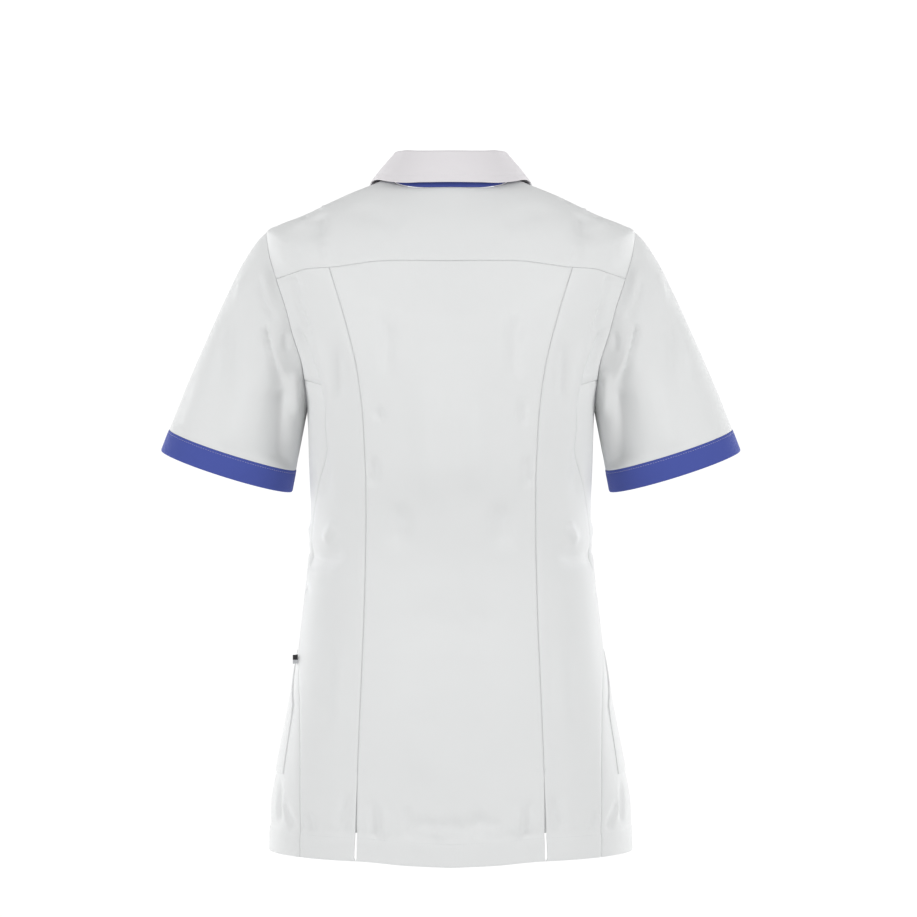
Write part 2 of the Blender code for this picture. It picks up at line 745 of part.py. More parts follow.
def make_button(number, z):
    """A round button with a raised rim, lying against the band."""
    level = LEVEL_AT_ZERO_Z - z
    if level < UNDERARM_LEVEL:
        levels = np.linspace(0, UNDERARM_LEVEL, 200)
        level = float(np.interp(-z, -body(180.0, levels)[:, 2], levels))
    centre = body(180.0, level)
    out = body_normal(180.0, level)
    side = np.array([1.0, 0.0, 0.0])
    up = np.cross(out, side)
    base = centre + out * (BAND_PROUD + 2 * HALF_SEAM + 0.0003)
    profile = (
        (BUTTON_RADIUS * 0.88, 0.0),
        (BUTTON_RADIUS, BUTTON_HEIGHT * 0.45),
        (BUTTON_RADIUS - BUTTON_RIM * 0.5, BUTTON_HEIGHT),
        (BUTTON_RADIUS - BUTTON_RIM, BUTTON_HEIGHT),
        (BUTTON_RADIUS - BUTTON_RIM * 1.8, BUTTON_HEIGHT - BUTTON_DISH),
    )
    sides = 20
    form = bmesh.new()
    rings = []
    for radius, height in profile:
        ring = []
        for n in range(sides):
            turn = 2 * math.pi * n / sides
            place = base + out * height + radius * (math.cos(turn) * side + math.sin(turn) * up)
            ring.append(form.verts.new(tuple(place)))
        rings.append(ring)
    for lower, upper in zip(rings, rings[1:]):
        for n in range(sides):
            form.faces.new((lower[n], lower[(n + 1) % sides], upper[(n + 1) % sides], upper[n]))
    form.faces.new(rings[-1])
    form.faces.new(list(reversed(rings[0])))
    bmesh.ops.recalc_face_normals(form, faces=form.faces)
    mesh = bpy.data.meshes.new(f"button_{number + 1}")
    form.to_mesh(mesh)
    form.free()
    mesh.materials.append(material("button"))
    mesh.shade_smooth()
    mesh.set_sharp_from_angle(angle=math.radians(50))
    bpy.context.scene.collection.objects.link(bpy.data.objects.new(f"button_{number + 1}", mesh))


def make_sleeves():
    """Sleeves as tubes from the armholes, with a separate band at each lower edge."""
    turns = -np.arange(0, 360, ARMHOLE_STEP)
    length = np.linalg.norm(cuff_ring(turns) - sleeve_points(turns, [0.0])[0], axis=1)
    band_top = 1 - CUFF_BAND / length
    seam = HALF_SEAM / length
    sleeve = sleeve_points(turns, np.linspace(seam, band_top - 2 * seam, SLEEVE_ROWS))
    band = sleeve_points(turns, np.linspace(band_top, np.ones(len(turns)), 3))
    band = band + CUFF_PROUD * grid_normals(band, True)
    sleeve_wall = grid_wall(sleeve, WALL, closed=True, first_row=armhole_walls(turns)[3])
    band_wall = grid_wall(band, TRIM_WALL, closed=True)
    for name, wall, slot in (("sleeve", sleeve_wall, "white_cloth"), ("cuff_band", band_wall, "blue_cloth")):
        solid(f"{name}_left", *wall, slot)
        solid(f"{name}_right", *mirrored(*wall), slot)


def collar_lines(angles):
    """The neck seam, the fold and the outer edge of the collar, and the directions up and out of its stand."""
    size = {
        name: read_table(COLLAR_COLUMNS, COLLAR, "angle", name, np.abs(angles)) for name in COLLAR_COLUMNS[1:]
    }
    seam = body(angles, np.zeros(len(angles)))
    plan = unit(seam * np.array([1, 1, 0]))
    fold = seam - plan * size["inward"][:, None]
    fold[:, 2] += size["rise"]
    fold[:, 1] -= size["forward"]
    edge_angle = np.sign(angles) * size["edge_angle"]
    edge = body(edge_angle, size["edge_level"])
    edge = edge + size["edge_out"][:, None] * unit(edge * np.array([1, 1, 0]))
    edge[:, 2] += size["edge_up"]
    along = unit(np.gradient(fold, axis=0))
    rise = fold - seam
    up = unit(rise - np.sum(rise * along, -1, keepdims=True) * along)
    out = np.cross(along, up)
    out *= np.sign(np.sum(out * (edge - seam), -1, keepdims=True))
    return seam, fold, edge, up, out


def make_collar():
    """The white top collar, folded over, and the blue stand that shows under its edge."""
    angles = np.linspace(-COLLAR[-1][0], COLLAR[-1][0], COLLAR_COLUMNS_OF_POINTS)
    seam, fold, edge, up, out = collar_lines(angles)
    half = COLLAR_WALL / 2

    inner_top = fold - FOLD_RADIUS * out
    inner_base = seam - (FOLD_RADIUS + COLLAR_WALL) * out + 0.0012 * up
    rows = [inner_base, inner_base * 0.5 + inner_top * 0.5]
    for turn in np.radians((180, 135, 90, 45, 0)):
        rows.append(fold + FOLD_RADIUS * (math.cos(turn) * out + math.sin(turn) * up))
    fall_top = rows[-1]
    for share in (0.2, 0.4, 0.6, 0.8, 1.0):
        swell = COLLAR_BULGE * math.sin(math.pi * share)
        rows.append(fall_top * (1 - share) + edge * share + swell * out)
    middle = np.array(rows)
    points = middle + half * grid_normals(middle, False)
    corners, faces = grid_wall(points, COLLAR_WALL, closed=False)
    solid("top_collar", corners, faces, "white_cloth")

    stand_rows = []
    for share in (0.0, 0.5, 1.0):
        base = seam + STAND_CLEARANCE * up
        top = fold + STAND_INTO_FOLD * up
        stand_rows.append(top * (1 - share) + base * share)
    corners, faces = grid_wall(np.array(stand_rows), COLLAR_WALL, closed=False)
    solid("collar_stand", corners, faces, "blue_cloth")


def make_side_tab():
    """A short tab of folded tape that stands out of the left side seam at the hip."""
    level = LEVEL_AT_ZERO_Z - TAB_Z
    angle = float(read_table(SIDE_SEAM_COLUMNS, SIDE_SEAM, "level", "angle", level))
    seam = body(angle, level) + 0.0010 * body_normal(angle, level)
    low = seam + np.array([0.0, -TAB_THICKNESS / 2, -TAB_HEIGHT / 2])
    size = np.array([TAB_REACH, TAB_THICKNESS, TAB_HEIGHT])
    mesh = bpy.data.meshes.new("side_tab")
    form = bmesh.new()
    bmesh.ops.create_cube(form, size=1.0)
    for corner in form.verts:
        corner.co = [low[n] + size[n] * (corner.co[n] + 0.5) for n in range(3)]
    bmesh.ops.bevel(form, geom=form.edges[:], offset=TAB_THICKNESS * 0.3, segments=2, affect="EDGES")
    form.to_mesh(mesh)
    form.free()
    mesh.materials.append(material("tab_tape"))
    bpy.context.scene.collection.objects.link(bpy.data.objects.new("side_tab", mesh))


def main():
    clear_scene()
    make_body_panels()
    make_sleeves()
    make_collar()
    make_side_tab()


main()
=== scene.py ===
"""Looks of a short-sleeved healthcare tunic jacket in its worn shape, hollow, with no wearer.

Metres, +Z up, the garment's front towards -Y and the wearer's left towards +X. Each packed cloth solid is
replaced by a thin sewn shell on the same surface, with its pressed seams, hems, creases and stitches.

The body's cloth is read by an angle round the body (0 at the centre back, 90 at the wearer's left side, 180
at the centre front) and a level, the distance down the centre back from the neck seam. A sleeve's cloth is
read by a turn round the arm (0 outside, 90 at the back, 180 under the arm) and a share of its length.
"""

import functools
import math

import bmesh
import bpy
import numpy as np
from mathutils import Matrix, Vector
from mathutils.geometry import delaunay_2d_cdt


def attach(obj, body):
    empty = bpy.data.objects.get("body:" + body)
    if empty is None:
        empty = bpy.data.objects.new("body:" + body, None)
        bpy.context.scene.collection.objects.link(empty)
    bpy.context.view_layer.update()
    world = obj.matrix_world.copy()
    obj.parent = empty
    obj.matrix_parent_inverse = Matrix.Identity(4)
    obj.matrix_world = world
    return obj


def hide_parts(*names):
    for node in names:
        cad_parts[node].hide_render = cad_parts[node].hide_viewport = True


bl_info = {
    "name": "Healthcare tunic looks",
    "version": (1, 0, 0),
    "blender": (4, 5, 0),
    "location": "3D View > Sidebar > Tunic",
    "description": "Dresses the tunic's solids in sewn cloth and sets its stage",
    "category": "Object",
}

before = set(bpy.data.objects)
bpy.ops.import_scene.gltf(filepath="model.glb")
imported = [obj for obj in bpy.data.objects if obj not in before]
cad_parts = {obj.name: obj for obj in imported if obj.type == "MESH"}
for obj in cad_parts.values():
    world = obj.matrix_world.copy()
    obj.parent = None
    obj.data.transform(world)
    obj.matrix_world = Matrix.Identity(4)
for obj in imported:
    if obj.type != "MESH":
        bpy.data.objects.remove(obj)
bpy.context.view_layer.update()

# ---------------------------------------------------------------- sizes shared with the solids

HALF_SEAM = 0.00015
ANGLE_TO_LENGTH = 0.0025
TILE = 0.0035
VENT_TOP_LEVEL = 0.622
WAIST_TACK_LEVEL = 0.346

HEM_LEVEL_COLUMNS = ("angle", "level")
HEM_LEVEL = (
    (0, 0.7200),
    (20, 0.7182),
    (40, 0.7150),
    (65, 0.7150),
    (90, 0.7165),
    (180, 0.7165),
)
LOWEST_LEVEL = 0.720
LEVEL_AT_ZERO_Z = 0.010
UNDERARM_LEVEL = 0.245

# The body's rings over the shoulders, from the neck seam down to the underarm
UPPER_RING_COLUMNS = (
    "level", "half_width", "back", "front", "side_z", "back_z", "front_z", "back_round", "front_round", "back_sweep",
)
UPPER_RINGS = (
    (0.000, 0.0680, 0.062, 0.118, 0.0120, -0.003, -0.1250, 2.1, 1.15, 5.0),
    (0.050, 0.1150, 0.088, 0.131, -0.0070, -0.046, -0.1470, 2.2, 1.60, 3.4),
    (0.100, 0.1580, 0.104, 0.140, -0.0277, -0.092, -0.1690, 2.3, 2.00, 3.0),
    (0.135, 0.1860, 0.111, 0.145, -0.0388, -0.126, -0.1850, 2.3, 2.20, 3.0),
    (0.150, 0.1972, 0.113, 0.147, -0.0455, -0.140, -0.1920, 2.3, 2.20, 3.0),
    (0.165, 0.1985, 0.116, 0.149, -0.0640, -0.156, -0.1990, 2.3, 2.20, 3.0),
    (0.180, 0.1935, 0.117, 0.150, -0.0960, -0.170, -0.2055, 2.3, 2.20, 3.0),
    (0.200, 0.1810, 0.119, 0.152, -0.1480, -0.190, -0.2145, 2.3, 2.20, 2.6),
    (0.222, 0.1635, 0.120, 0.153, -0.1980, -0.212, -0.2245, 2.3, 2.20, 2.2),
)
# The level rings below the underarm
LOWER_RINGS_COLUMNS = ("level", "half_width", "back", "front")
LOWER_RINGS = (
    (0.245, 0.1540, 0.121, 0.155),
    (0.300, 0.1523, 0.118, 0.151),
    (0.360, 0.1502, 0.106, 0.131),
    (0.410, 0.1535, 0.100, 0.117),
    (0.460, 0.1588, 0.105, 0.114),
    (0.510, 0.1648, 0.115, 0.118),
    (0.560, 0.1728, 0.123, 0.124),
    (0.625, 0.1855, 0.127, 0.130),
    (0.670, 0.1930, 0.128, 0.133),
    (0.720, 0.1945, 0.128, 0.135),
)
LOWER_ROUND = (2.3, 2.2, 2.0)

# The armhole, seen from the side: turn 0 at the shoulder tip, 90 at the back, 180 under the arm
ARMHOLE_COLUMNS = ("turn", "y", "z")
ARMHOLE = (
    (-30, -0.028, -0.0605),
    (0, 0.000, -0.0445),
    (30, 0.026, -0.0605),
    (60, 0.043, -0.0985),
    (90, 0.052, -0.1370),
    (120, 0.050, -0.1770),
    (150, 0.033, -0.2170),
    (180, 0.000, -0.2370),
    (210, -0.036, -0.2170),
    (240, -0.056, -0.1770),
    (270, -0.060, -0.1370),
    (300, -0.049, -0.0960),
    (330, -0.028, -0.0605),
    (360, 0.000, -0.0445),
)
ARMHOLE_STEP = 4
SHOULDER_SEAM_TURN = 340
YOKE_TURN = 60
SIDE_SEAM_TURN = 140
SHOULDER_SEAM_FORWARD_DEG = 3.0

# Seams on the back, as seen from behind: distance from the centre back, and height
YOKE_SEAM_COLUMNS = ("x", "z")
YOKE_SEAM = (
    (0.0000, -0.0829),
    (0.0563, -0.0823),
    (0.0769, -0.0830),
    (0.0923, -0.0848),
    (0.1270, -0.0892),
    (0.1499, -0.0902),
    (0.1640, -0.0937),
)
PRINCESS_SEAM_COLUMNS = ("x", "z")
PRINCESS_SEAM = (
    (0.1270, -0.0892),
    (0.1101, -0.1445),
    (0.0973, -0.1984),
    (0.0909, -0.2548),
    (0.0884, -0.3318),
    (0.0902, -0.4357),
    (0.0932, -0.5230),
    (0.0964, -0.6072),
    (0.0990, -0.7100),
)
VENT_TOP_Z = -0.612
VENT_HALF_GAP_AT_HEM = 0.0016

SIDE_SEAM_COLUMNS = ("level", "angle")
SIDE_SEAM = (
    (0.228, 67.5),
    (0.236, 63.0),
    (0.245, 61.7),
    (0.263, 62.0),
    (0.295, 64.4),
    (0.321, 68.8),
    (0.344, 73.8),
    (0.368, 78.5),
    (0.420, 82.5),
    (0.480, 83.0),
    (0.508, 80.1),
    (0.525, 76.9),
    (0.554, 71.5),
    (0.594, 66.8),
    (0.626, 64.3),
    (0.676, 62.1),
    (0.720, 61.8),
)

BAND_HALF_WIDTH = 0.016
BAND_PROUD = 0.0005
BUTTON_COUNT = 6
FIRST_BUTTON_Z = -0.150
BUTTON_PITCH = 0.082
BUTTON_RADIUS = 0.0075
BUTTON_HEIGHT = 0.0028

# Hip pocket, by its corners on the front
POCKET_CORNERS_COLUMNS = ("angle", "level")
POCKET_CORNERS = (
    (137.0, 0.478),
    (137.0, 0.636),
    (74.0, 0.632),
    (76.0, 0.560),
    (93.0, 0.505),
)
POCKET_SIDE_INSET_DEG = 1.5

# Sleeve: its opening's centre, half sizes and slopes
CUFF_CENTRE = (0.2424, -0.0200, -0.3020)
CUFF_HALF_WIDTH = 0.0739
CUFF_HALF_DEPTH = 0.0580
CUFF_SLOPE = math.radians(17.7)
CUFF_BACK_DROP = 0.0055
CUFF_BAND = 0.0245
CUFF_PROUD = 0.0006
SLEEVE_PUFF_COLUMNS = ("share", "out")
SLEEVE_PUFF = (
    (0.00, 0.0000),
    (0.04, 0.0042),
    (0.08, 0.0064),
    (0.20, 0.0093),
    (0.35, 0.0090),
    (0.50, 0.0079),
    (0.70, 0.0060),
    (0.85, 0.0033),
    (1.00, 0.0000),
)

# Collar: the fold's place from the neck seam, and the outer edge's place from a point of the body
COLLAR_COLUMNS = ("angle", "rise", "inward", "forward", "edge_angle", "edge_level", "edge_out", "edge_up")
COLLAR = (
    (0, 0.0355, 0.006, 0.000, 0, 0.000, 0.0055, 0.0052),
    (25, 0.0355, 0.006, 0.000, 25, 0.000, 0.0055, 0.0052),
    (45, 0.0345, 0.006, 0.000, 45, 0.002, 0.0050, 0.0048),
    (65, 0.0290, 0.0075, 0.001, 65, 0.007, 0.0040, 0.0042),
    (90, 0.0215, 0.009, 0.002, 90, 0.0170, 0.0010, 0.0034),
    (107, 0.0198, 0.008, 0.004, 105, 0.0290, 0.0014, 0.0030),
    (125, 0.0175, 0.006, 0.007, 121, 0.044, 0.0022, 0.0028),
    (150, 0.0120, 0.002, 0.008, 141, 0.056, 0.0025, 0.0025),
    (171, 0.0070, 0.001, 0.007, 155, 0.064, 0.0025, 0.0025),
)
COLLAR_POINTS_ROUND = 191
COLLAR_WALL = 0.0012
FOLD_RADIUS = 0.0034
COLLAR_BULGE = 0.0012
STAND_CLEARANCE = 0.0005
STAND_INTO_FOLD = 0.0017

TAB_Z = -0.5020
TAB_HEIGHT = 0.0095
TAB_REACH = 0.0055
TAB_THICKNESS = 0.0012

# The photograph's view, from behind
CAMERA_DISTANCE = 3.0
CAMERA_HEIGHT = -0.2886
CAMERA_LENS = 109.56
CAMERA_SHIFT = 0.0084
# The left one of each pair of lights, and their size
SIDE_LIGHT = (2.15, 1.70, 0.60)
FAR_LIGHT = (1.9, -1.9, -0.1)
LIGHT_SIZE = (1.2, 1.8)
FLOOR_HALF = 3.2

# ---------------------------------------------------------------- creases of the worn cloth

# A crease runs from one place to another, across and down as the cloth is read: angle and level on the body,
# turn and share on the sleeve. Bow is how far its middle lies to the side, in metres. Its half width goes from
# width to end_width, height is out of the cloth, lean makes its right (+) or left (-) slope the softer one, and it
# fades in and out over those shares of its length. Sides: both, left or right.
CREASE_COLUMNS = (
    "cloth", "sides", "across", "down", "end_across", "end_down", "bow", "width", "end_width", "height", "lean",
    "fade_in", "fade_out",
)
CREASES = (
    # back of the body, from the shoulders down
    ("body", "both", 74.0, 0.084, 61.0, 0.128, 0.004, 0.0075, 0.0110, -0.0047, 0.2, 0.20, 0.45),
    ("body", "both", 78.0, 0.098, 70.0, 0.126, -0.002, 0.0060, 0.0080, 0.0025, 0.0, 0.25, 0.45),
    ("body", "left", 88.0, 0.052, 76.0, 0.062, 0.001, 0.0040, 0.0050, -0.0022, 0.2, 0.20, 0.50),
    ("body", "right", 87.0, 0.058, 74.0, 0.066, 0.001, 0.0044, 0.0050, -0.0020, 0.2, 0.20, 0.50),
    ("body", "both", 66.0, 0.058, 28.0, 0.052, 0.004, 0.0120, 0.0150, -0.0024, 0.0, 0.35, 0.35),
    ("body", "both", 83.0, 0.100, 74.0, 0.108, 0.001, 0.0028, 0.0035, -0.0025, 0.3, 0.20, 0.50),
    ("body", "left", 82.0, 0.076, 73.5, 0.079, 0.001, 0.0030, 0.0030, 0.0025, 0.0, 0.20, 0.50),
    ("body", "right", 83.0, 0.083, 75.0, 0.087, 0.001, 0.0034, 0.0030, 0.0020, 0.0, 0.20, 0.50),
    ("body", "both", 71.5, 0.142, 69.0, 0.168, 0.000, 0.0011, 0.0011, -0.0012, 0.0, 0.15, 0.15),
    ("body", "both", 60.5, 0.120, 54.5, 0.144, 0.000, 0.0050, 0.0040, 0.0020, 0.0, 0.35, 0.20),
    ("body", "both", 68.0, 0.172, 64.0, 0.184, 0.001, 0.0050, 0.0060, -0.0037, 0.0, 0.25, 0.40),
    ("body", "both", 66.0, 0.183, 62.5, 0.204, 0.002, 0.0035, 0.0045, -0.0046, 0.4, 0.25, 0.40),
    ("body", "both", 68.5, 0.198, 64.0, 0.256, 0.003, 0.0055, 0.0105, -0.0093, 0.3, 0.15, 0.45),
    ("body", "both", 60.5, 0.196, 58.0, 0.260, 0.002, 0.0080, 0.0100, 0.0051, 0.0, 0.30, 0.40),
    ("body", "both", 62.5, 0.262, 63.5, 0.345, -0.003, 0.0080, 0.0100, -0.0042, 0.0, 0.35, 0.35),
    ("body", "both", 51.0, 0.196, 54.5, 0.248, 0.002, 0.0060, 0.0075, -0.0037, 0.0, 0.35, 0.35),
    ("body", "both", 33.0, 0.150, 31.5, 0.226, 0.004, 0.0070, 0.0085, -0.0039, 0.0, 0.40, 0.40),
    ("body", "left", 35.0, 0.244, 34.0, 0.262, 0.001, 0.0045, 0.0050, -0.0029, 0.0, 0.40, 0.40),
    ("body", "right", 34.0, 0.236, 35.5, 0.268, 0.001, 0.0050, 0.0050, -0.0029, 0.0, 0.40, 0.40),
    ("body", "both", 37.0, 0.292, 39.5, 0.330, 0.001, 0.0050, 0.0060, -0.0033, 0.0, 0.40, 0.30),
    ("body", "left", 14.0, 0.180, 9.0, 0.380, 0.004, 0.0180, 0.0220, 0.0046, 0.0, 0.40, 0.40),
    ("body", "right", 10.0, 0.200, 15.0, 0.350, 0.003, 0.0170, 0.0190, 0.0039, 0.0, 0.40, 0.40),
    ("body", "both", 24.0, 0.340, 30.0, 0.400, -0.004, 0.0100, 0.0140, -0.0039, 0.0, 0.40, 0.40),
    # back waist and hip
    ("body", "both", 60.0, 0.366, 68.0, 0.388, 0.001, 0.0050, 0.0060, 0.0042, 0.3, 0.25, 0.35),
    ("body", "both", 52.0, 0.398, 86.0, 0.402, 0.004, 0.0090, 0.0120, -0.0060, 0.0, 0.40, 0.20),
    ("body", "both", 98.0, 0.397, 82.0, 0.399, 0.001, 0.0028, 0.0040, -0.0040, 0.0, 0.25, 0.50),
    ("body", "both", 96.0, 0.374, 80.0, 0.380, 0.002, 0.0060, 0.0080, 0.0025, 0.0, 0.30, 0.50),
    ("body", "left", 88.0, 0.431, 74.0, 0.444, 0.002, 0.0030, 0.0050, -0.0029, 0.2, 0.20, 0.50),
    ("body", "right", 90.0, 0.436, 77.0, 0.446, 0.002, 0.0034, 0.0050, -0.0025, 0.2, 0.20, 0.50),
    ("body", "both", 20.0, 0.440, 4.0, 0.500, 0.006, 0.0220, 0.0260, -0.0025, 0.0, 0.40, 0.40),
    ("body", "both", 56.0, 0.480, 52.0, 0.600, 0.006, 0.0130, 0.0160, 0.0025, 0.0, 0.40, 0.40),
    ("body", "left", 18.0, 0.560, 12.0, 0.640, 0.004, 0.0180, 0.0200, 0.0022, 0.0, 0.40, 0.40),
    # back hem
    ("body", "both", 76.0, 0.634, 72.5, 0.684, 0.001, 0.0040, 0.0050, -0.0033, 0.2, 0.40, 0.15),
    ("body", "both", 71.5, 0.658, 65.0, 0.688, 0.001, 0.0030, 0.0045, -0.0031, -0.2, 0.30, 0.15),
    ("body", "both", 60.5, 0.664, 57.0, 0.688, 0.001, 0.0040, 0.0050, -0.0025, 0.0, 0.40, 0.15),
    ("body", "both", 44.0, 0.640, 47.0, 0.684, 0.002, 0.0055, 0.0060, -0.0028, 0.0, 0.40, 0.15),
    ("body", "both", 34.5, 0.648, 33.0, 0.692, 0.001, 0.0045, 0.0050, -0.0028, 0.0, 0.40, 0.15),
    ("body", "both", 30.0, 0.654, 29.5, 0.692, 0.001, 0.0045, 0.0050, 0.0020, 0.0, 0.40, 0.15),
    ("body", "left", 22.0, 0.679, -14.0, 0.683, 0.004, 0.0070, 0.0085, -0.0028, 0.0, 0.30, 0.30),
    ("body", "right", 24.0, 0.680, 6.0, 0.676, 0.003, 0.0060, 0.0070, -0.0023, 0.0, 0.30, 0.30),
    ("body", "left", 21.0, 0.652, 19.5, 0.690, 0.001, 0.0060, 0.0060, -0.0020, 0.0, 0.40, 0.15),
    ("body", "right", 13.0, 0.656, 14.0, 0.692, 0.001, 0.0065, 0.0060, -0.0020, 0.0, 0.40, 0.15),
    ("body", "left", 5.0, 0.660, 6.0, 0.692, 0.001, 0.0060, 0.0060, 0.0019, 0.0, 0.40, 0.15),
    # fronts, from the shoulders down
    ("body", "both", 106.0, 0.060, 122.0, 0.118, 0.004, 0.0080, 0.0120, -0.0034, 0.0, 0.30, 0.45),
    ("body", "both", 105.0, 0.160, 118.0, 0.196, 0.003, 0.0060, 0.0090, -0.0031, 0.3, 0.20, 0.50),
    ("body", "both", 98.0, 0.244, 124.0, 0.272, 0.005, 0.0055, 0.0100, -0.0050, 0.3, 0.15, 0.55),
    ("body", "left", 92.0, 0.268, 112.0, 0.292, 0.003, 0.0050, 0.0080, -0.0037, 0.2, 0.20, 0.55),
    ("body", "right", 90.0, 0.274, 114.0, 0.300, 0.004, 0.0055, 0.0080, -0.0034, 0.2, 0.20, 0.55),
    ("body", "both", 131.0, 0.296, 128.0, 0.390, 0.004, 0.0100, 0.0120, -0.0034, 0.0, 0.45, 0.40),
    ("body", "both", 169.0, 0.318, 147.0, 0.326, 0.003, 0.0050, 0.0080, -0.0025, 0.0, 0.15, 0.60),
    ("body", "both", 101.0, 0.398, 134.0, 0.404, -0.005, 0.0090, 0.0120, -0.0039, 0.0, 0.30, 0.45),
    ("body", "left", 168.0, 0.398, 144.0, 0.388, 0.003, 0.0060, 0.0080, -0.0026, 0.2, 0.15, 0.60),
    ("body", "right", 168.0, 0.402, 146.0, 0.410, 0.003, 0.0055, 0.0080, -0.0023, 0.2, 0.15, 0.60),
    ("body", "both", 108.0, 0.376, 138.0, 0.370, 0.004, 0.0090, 0.0110, 0.0025, 0.0, 0.35, 0.45),
    ("body", "both", 149.0, 0.440, 153.0, 0.600, 0.005, 0.0120, 0.0170, -0.0031, 0.0, 0.40, 0.40),
    ("body", "both", 101.0, 0.646, 99.0, 0.688, 0.001, 0.0055, 0.0060, -0.0028, 0.0, 0.40, 0.15),
    ("body", "left", 124.0, 0.652, 127.0, 0.688, 0.001, 0.0060, 0.0060, -0.0026, 0.0, 0.40, 0.15),
    ("body", "right", 119.0, 0.650, 121.0, 0.688, 0.001, 0.0055, 0.0060, -0.0028, 0.0, 0.40, 0.15),
    ("body", "both", 150.0, 0.648, 148.0, 0.688, 0.001, 0.0060, 0.0060, -0.0025, 0.0, 0.40, 0.15),
    # back of the sleeves
    ("sleeve", "both", 44.0, 0.030, 76.0, 0.105, 0.000, 0.0060, 0.0090, 0.0034, 0.0, 0.25, 0.40),
    ("sleeve", "both", 48.0, 0.080, 84.0, 0.100, 0.003, 0.0030, 0.0045, -0.0031, 0.3, 0.20, 0.30),
    ("sleeve", "both", 74.0, 0.170, 120.0, 0.270, 0.006, 0.0028, 0.0065, -0.0055, 0.5, 0.08, 0.20),
    ("sleeve", "both", 84.0, 0.210, 104.0, 0.340, 0.002, 0.0070, 0.0120, 0.0031, 0.0, 0.30, 0.50),
    ("sleeve", "both", 112.0, 0.240, 160.0, 0.940, 0.006, 0.0080, 0.0200, -0.0111, 0.3, 0.20, 0.10),
    ("sleeve", "both", 124.0, 0.090, 146.0, 0.330, 0.001, 0.0065, 0.0035, 0.0052, 0.0, 0.20, 0.35),
    ("sleeve", "both", 96.0, 0.060, 108.0, 0.110, 0.002, 0.0030, 0.0040, -0.0021, 0.0, 0.25, 0.35),
    ("sleeve", "both", 22.0, 0.190, 12.0, 0.310, 0.001, 0.0032, 0.0040, -0.0021, 0.4, 0.25, 0.40),
    ("sleeve", "both", 26.0, 0.160, 44.0, 0.260, 0.001, 0.0060, 0.0080, 0.0023, 0.0, 0.30, 0.40),
    ("sleeve", "both", 34.0, 0.300, 68.0, 0.620, 0.004, 0.0100, 0.0130, -0.0044, 0.0, 0.35, 0.45),
    ("sleeve", "both", 76.0, 0.380, 92.0, 0.900, 0.003, 0.0150, 0.0200, 0.0039, 0.0, 0.40, 0.30),
    ("sleeve", "left", 20.0, 0.620, 26.0, 0.920, 0.001, 0.0120, 0.0140, -0.0020, 0.0, 0.40, 0.20),
    # front of the sleeves
    ("sleeve", "both", 316.0, 0.040, 284.0, 0.110, 0.001, 0.0060, 0.0090, 0.0029, 0.0, 0.25, 0.40),
    ("sleeve", "both", 286.0, 0.160, 244.0, 0.260, -0.005, 0.0032, 0.0065, -0.0049, 0.3, 0.10, 0.25),
    ("sleeve", "both", 248.0, 0.240, 204.0, 0.920, -0.006, 0.0080, 0.0180, -0.0094, 0.0, 0.20, 0.12),
    ("sleeve", "both", 322.0, 0.260, 294.0, 0.580, -0.003, 0.0090, 0.0130, -0.0039, 0.0, 0.35, 0.45),
    ("sleeve", "both", 284.0, 0.420, 268.0, 0.880, -0.003, 0.0150, 0.0190, 0.0034, 0.0, 0.40, 0.30),
)


# ---------------------------------------------------------------- the cloth's surface


def column(columns, rows, name):
    return np.array([row[columns.index(name)] for row in rows], float)


def smooth(knots, values, at):
    """Cubic curve through the values at the knots, read at any places. It never overshoots a value."""
    at = np.clip(np.asarray(at, float), knots[0], knots[-1])
    steps = np.diff(knots)
    rises = np.diff(values) / steps
    slopes = np.zeros(len(values))
    slopes[0], slopes[-1] = rises[0], rises[-1]
    before, after = rises[:-1], rises[1:]
    weight = (2 * steps[1:] + steps[:-1], steps[1:] + 2 * steps[:-1])
    turning = before * after <= 0
    before, after = np.where(turning, 1.0, before), np.where(turning, 1.0, after)
    slopes[1:-1] = np.where(turning, 0.0, sum(weight) / (weight[0] / before + weight[1] / after))
    cell = np.clip(np.searchsorted(knots, at, side="right") - 1, 0, len(steps) - 1)
    step = steps[cell]
    t = (at - knots[cell]) / step
    return (
        values[cell] * (1 + 2 * t) * (1 - t) ** 2
        + slopes[cell] * step * t * (1 - t) ** 2
        + values[cell + 1] * t * t * (3 - 2 * t)
        + slopes[cell + 1] * step * t * t * (t - 1)
    )


def read_table(columns, rows, by, name, at):
    return smooth(column(columns, rows, by), column(columns, rows, name), at)


def all_rings():
    """Every ring of the body with the upper rings' columns: a lower ring is level, so its z follows."""
    rows = [list(row) for row in UPPER_RINGS]
    for level, half_width, back, front in LOWER_RINGS:
        z = LEVEL_AT_ZERO_Z - level
        rows.append([level, half_width, back, front, z, z, z, *LOWER_ROUND])
    return rows


RINGS = all_rings()


def hem_level(angle):
    return read_table(HEM_LEVEL_COLUMNS, HEM_LEVEL, "angle", "level", np.abs(angle))


def body(angle, level):
    """Outer face of the body's cloth, as points, at angles in degrees and levels in metres."""
    angle, level = np.broadcast_arrays(np.asarray(angle, float), np.asarray(level, float))
    size = {}
    for name in UPPER_RING_COLUMNS[1:]:
        size[name] = read_table(UPPER_RING_COLUMNS, RINGS, "level", name, level)
    turn = np.radians(angle)
    across, along = np.sin(turn), np.cos(turn)
    behind = along >= 0
    depth = np.where(behind, size["back"], size["front"])
    roundness = np.where(behind, size["back_round"], size["front_round"])
    end_z = np.where(behind, size["back_z"], size["front_z"])
    reach = (np.abs(along) / depth) ** roundness + (np.abs(across) / size["half_width"]) ** roundness
    radius = reach ** (-1 / roundness)
    sweep = np.where(behind, size["back_sweep"], 2.0)
    z = size["side_z"] + (end_z - size["side_z"]) * (1 - np.abs(across) ** sweep)
    return np.stack([radius * across, radius * along, z], -1)


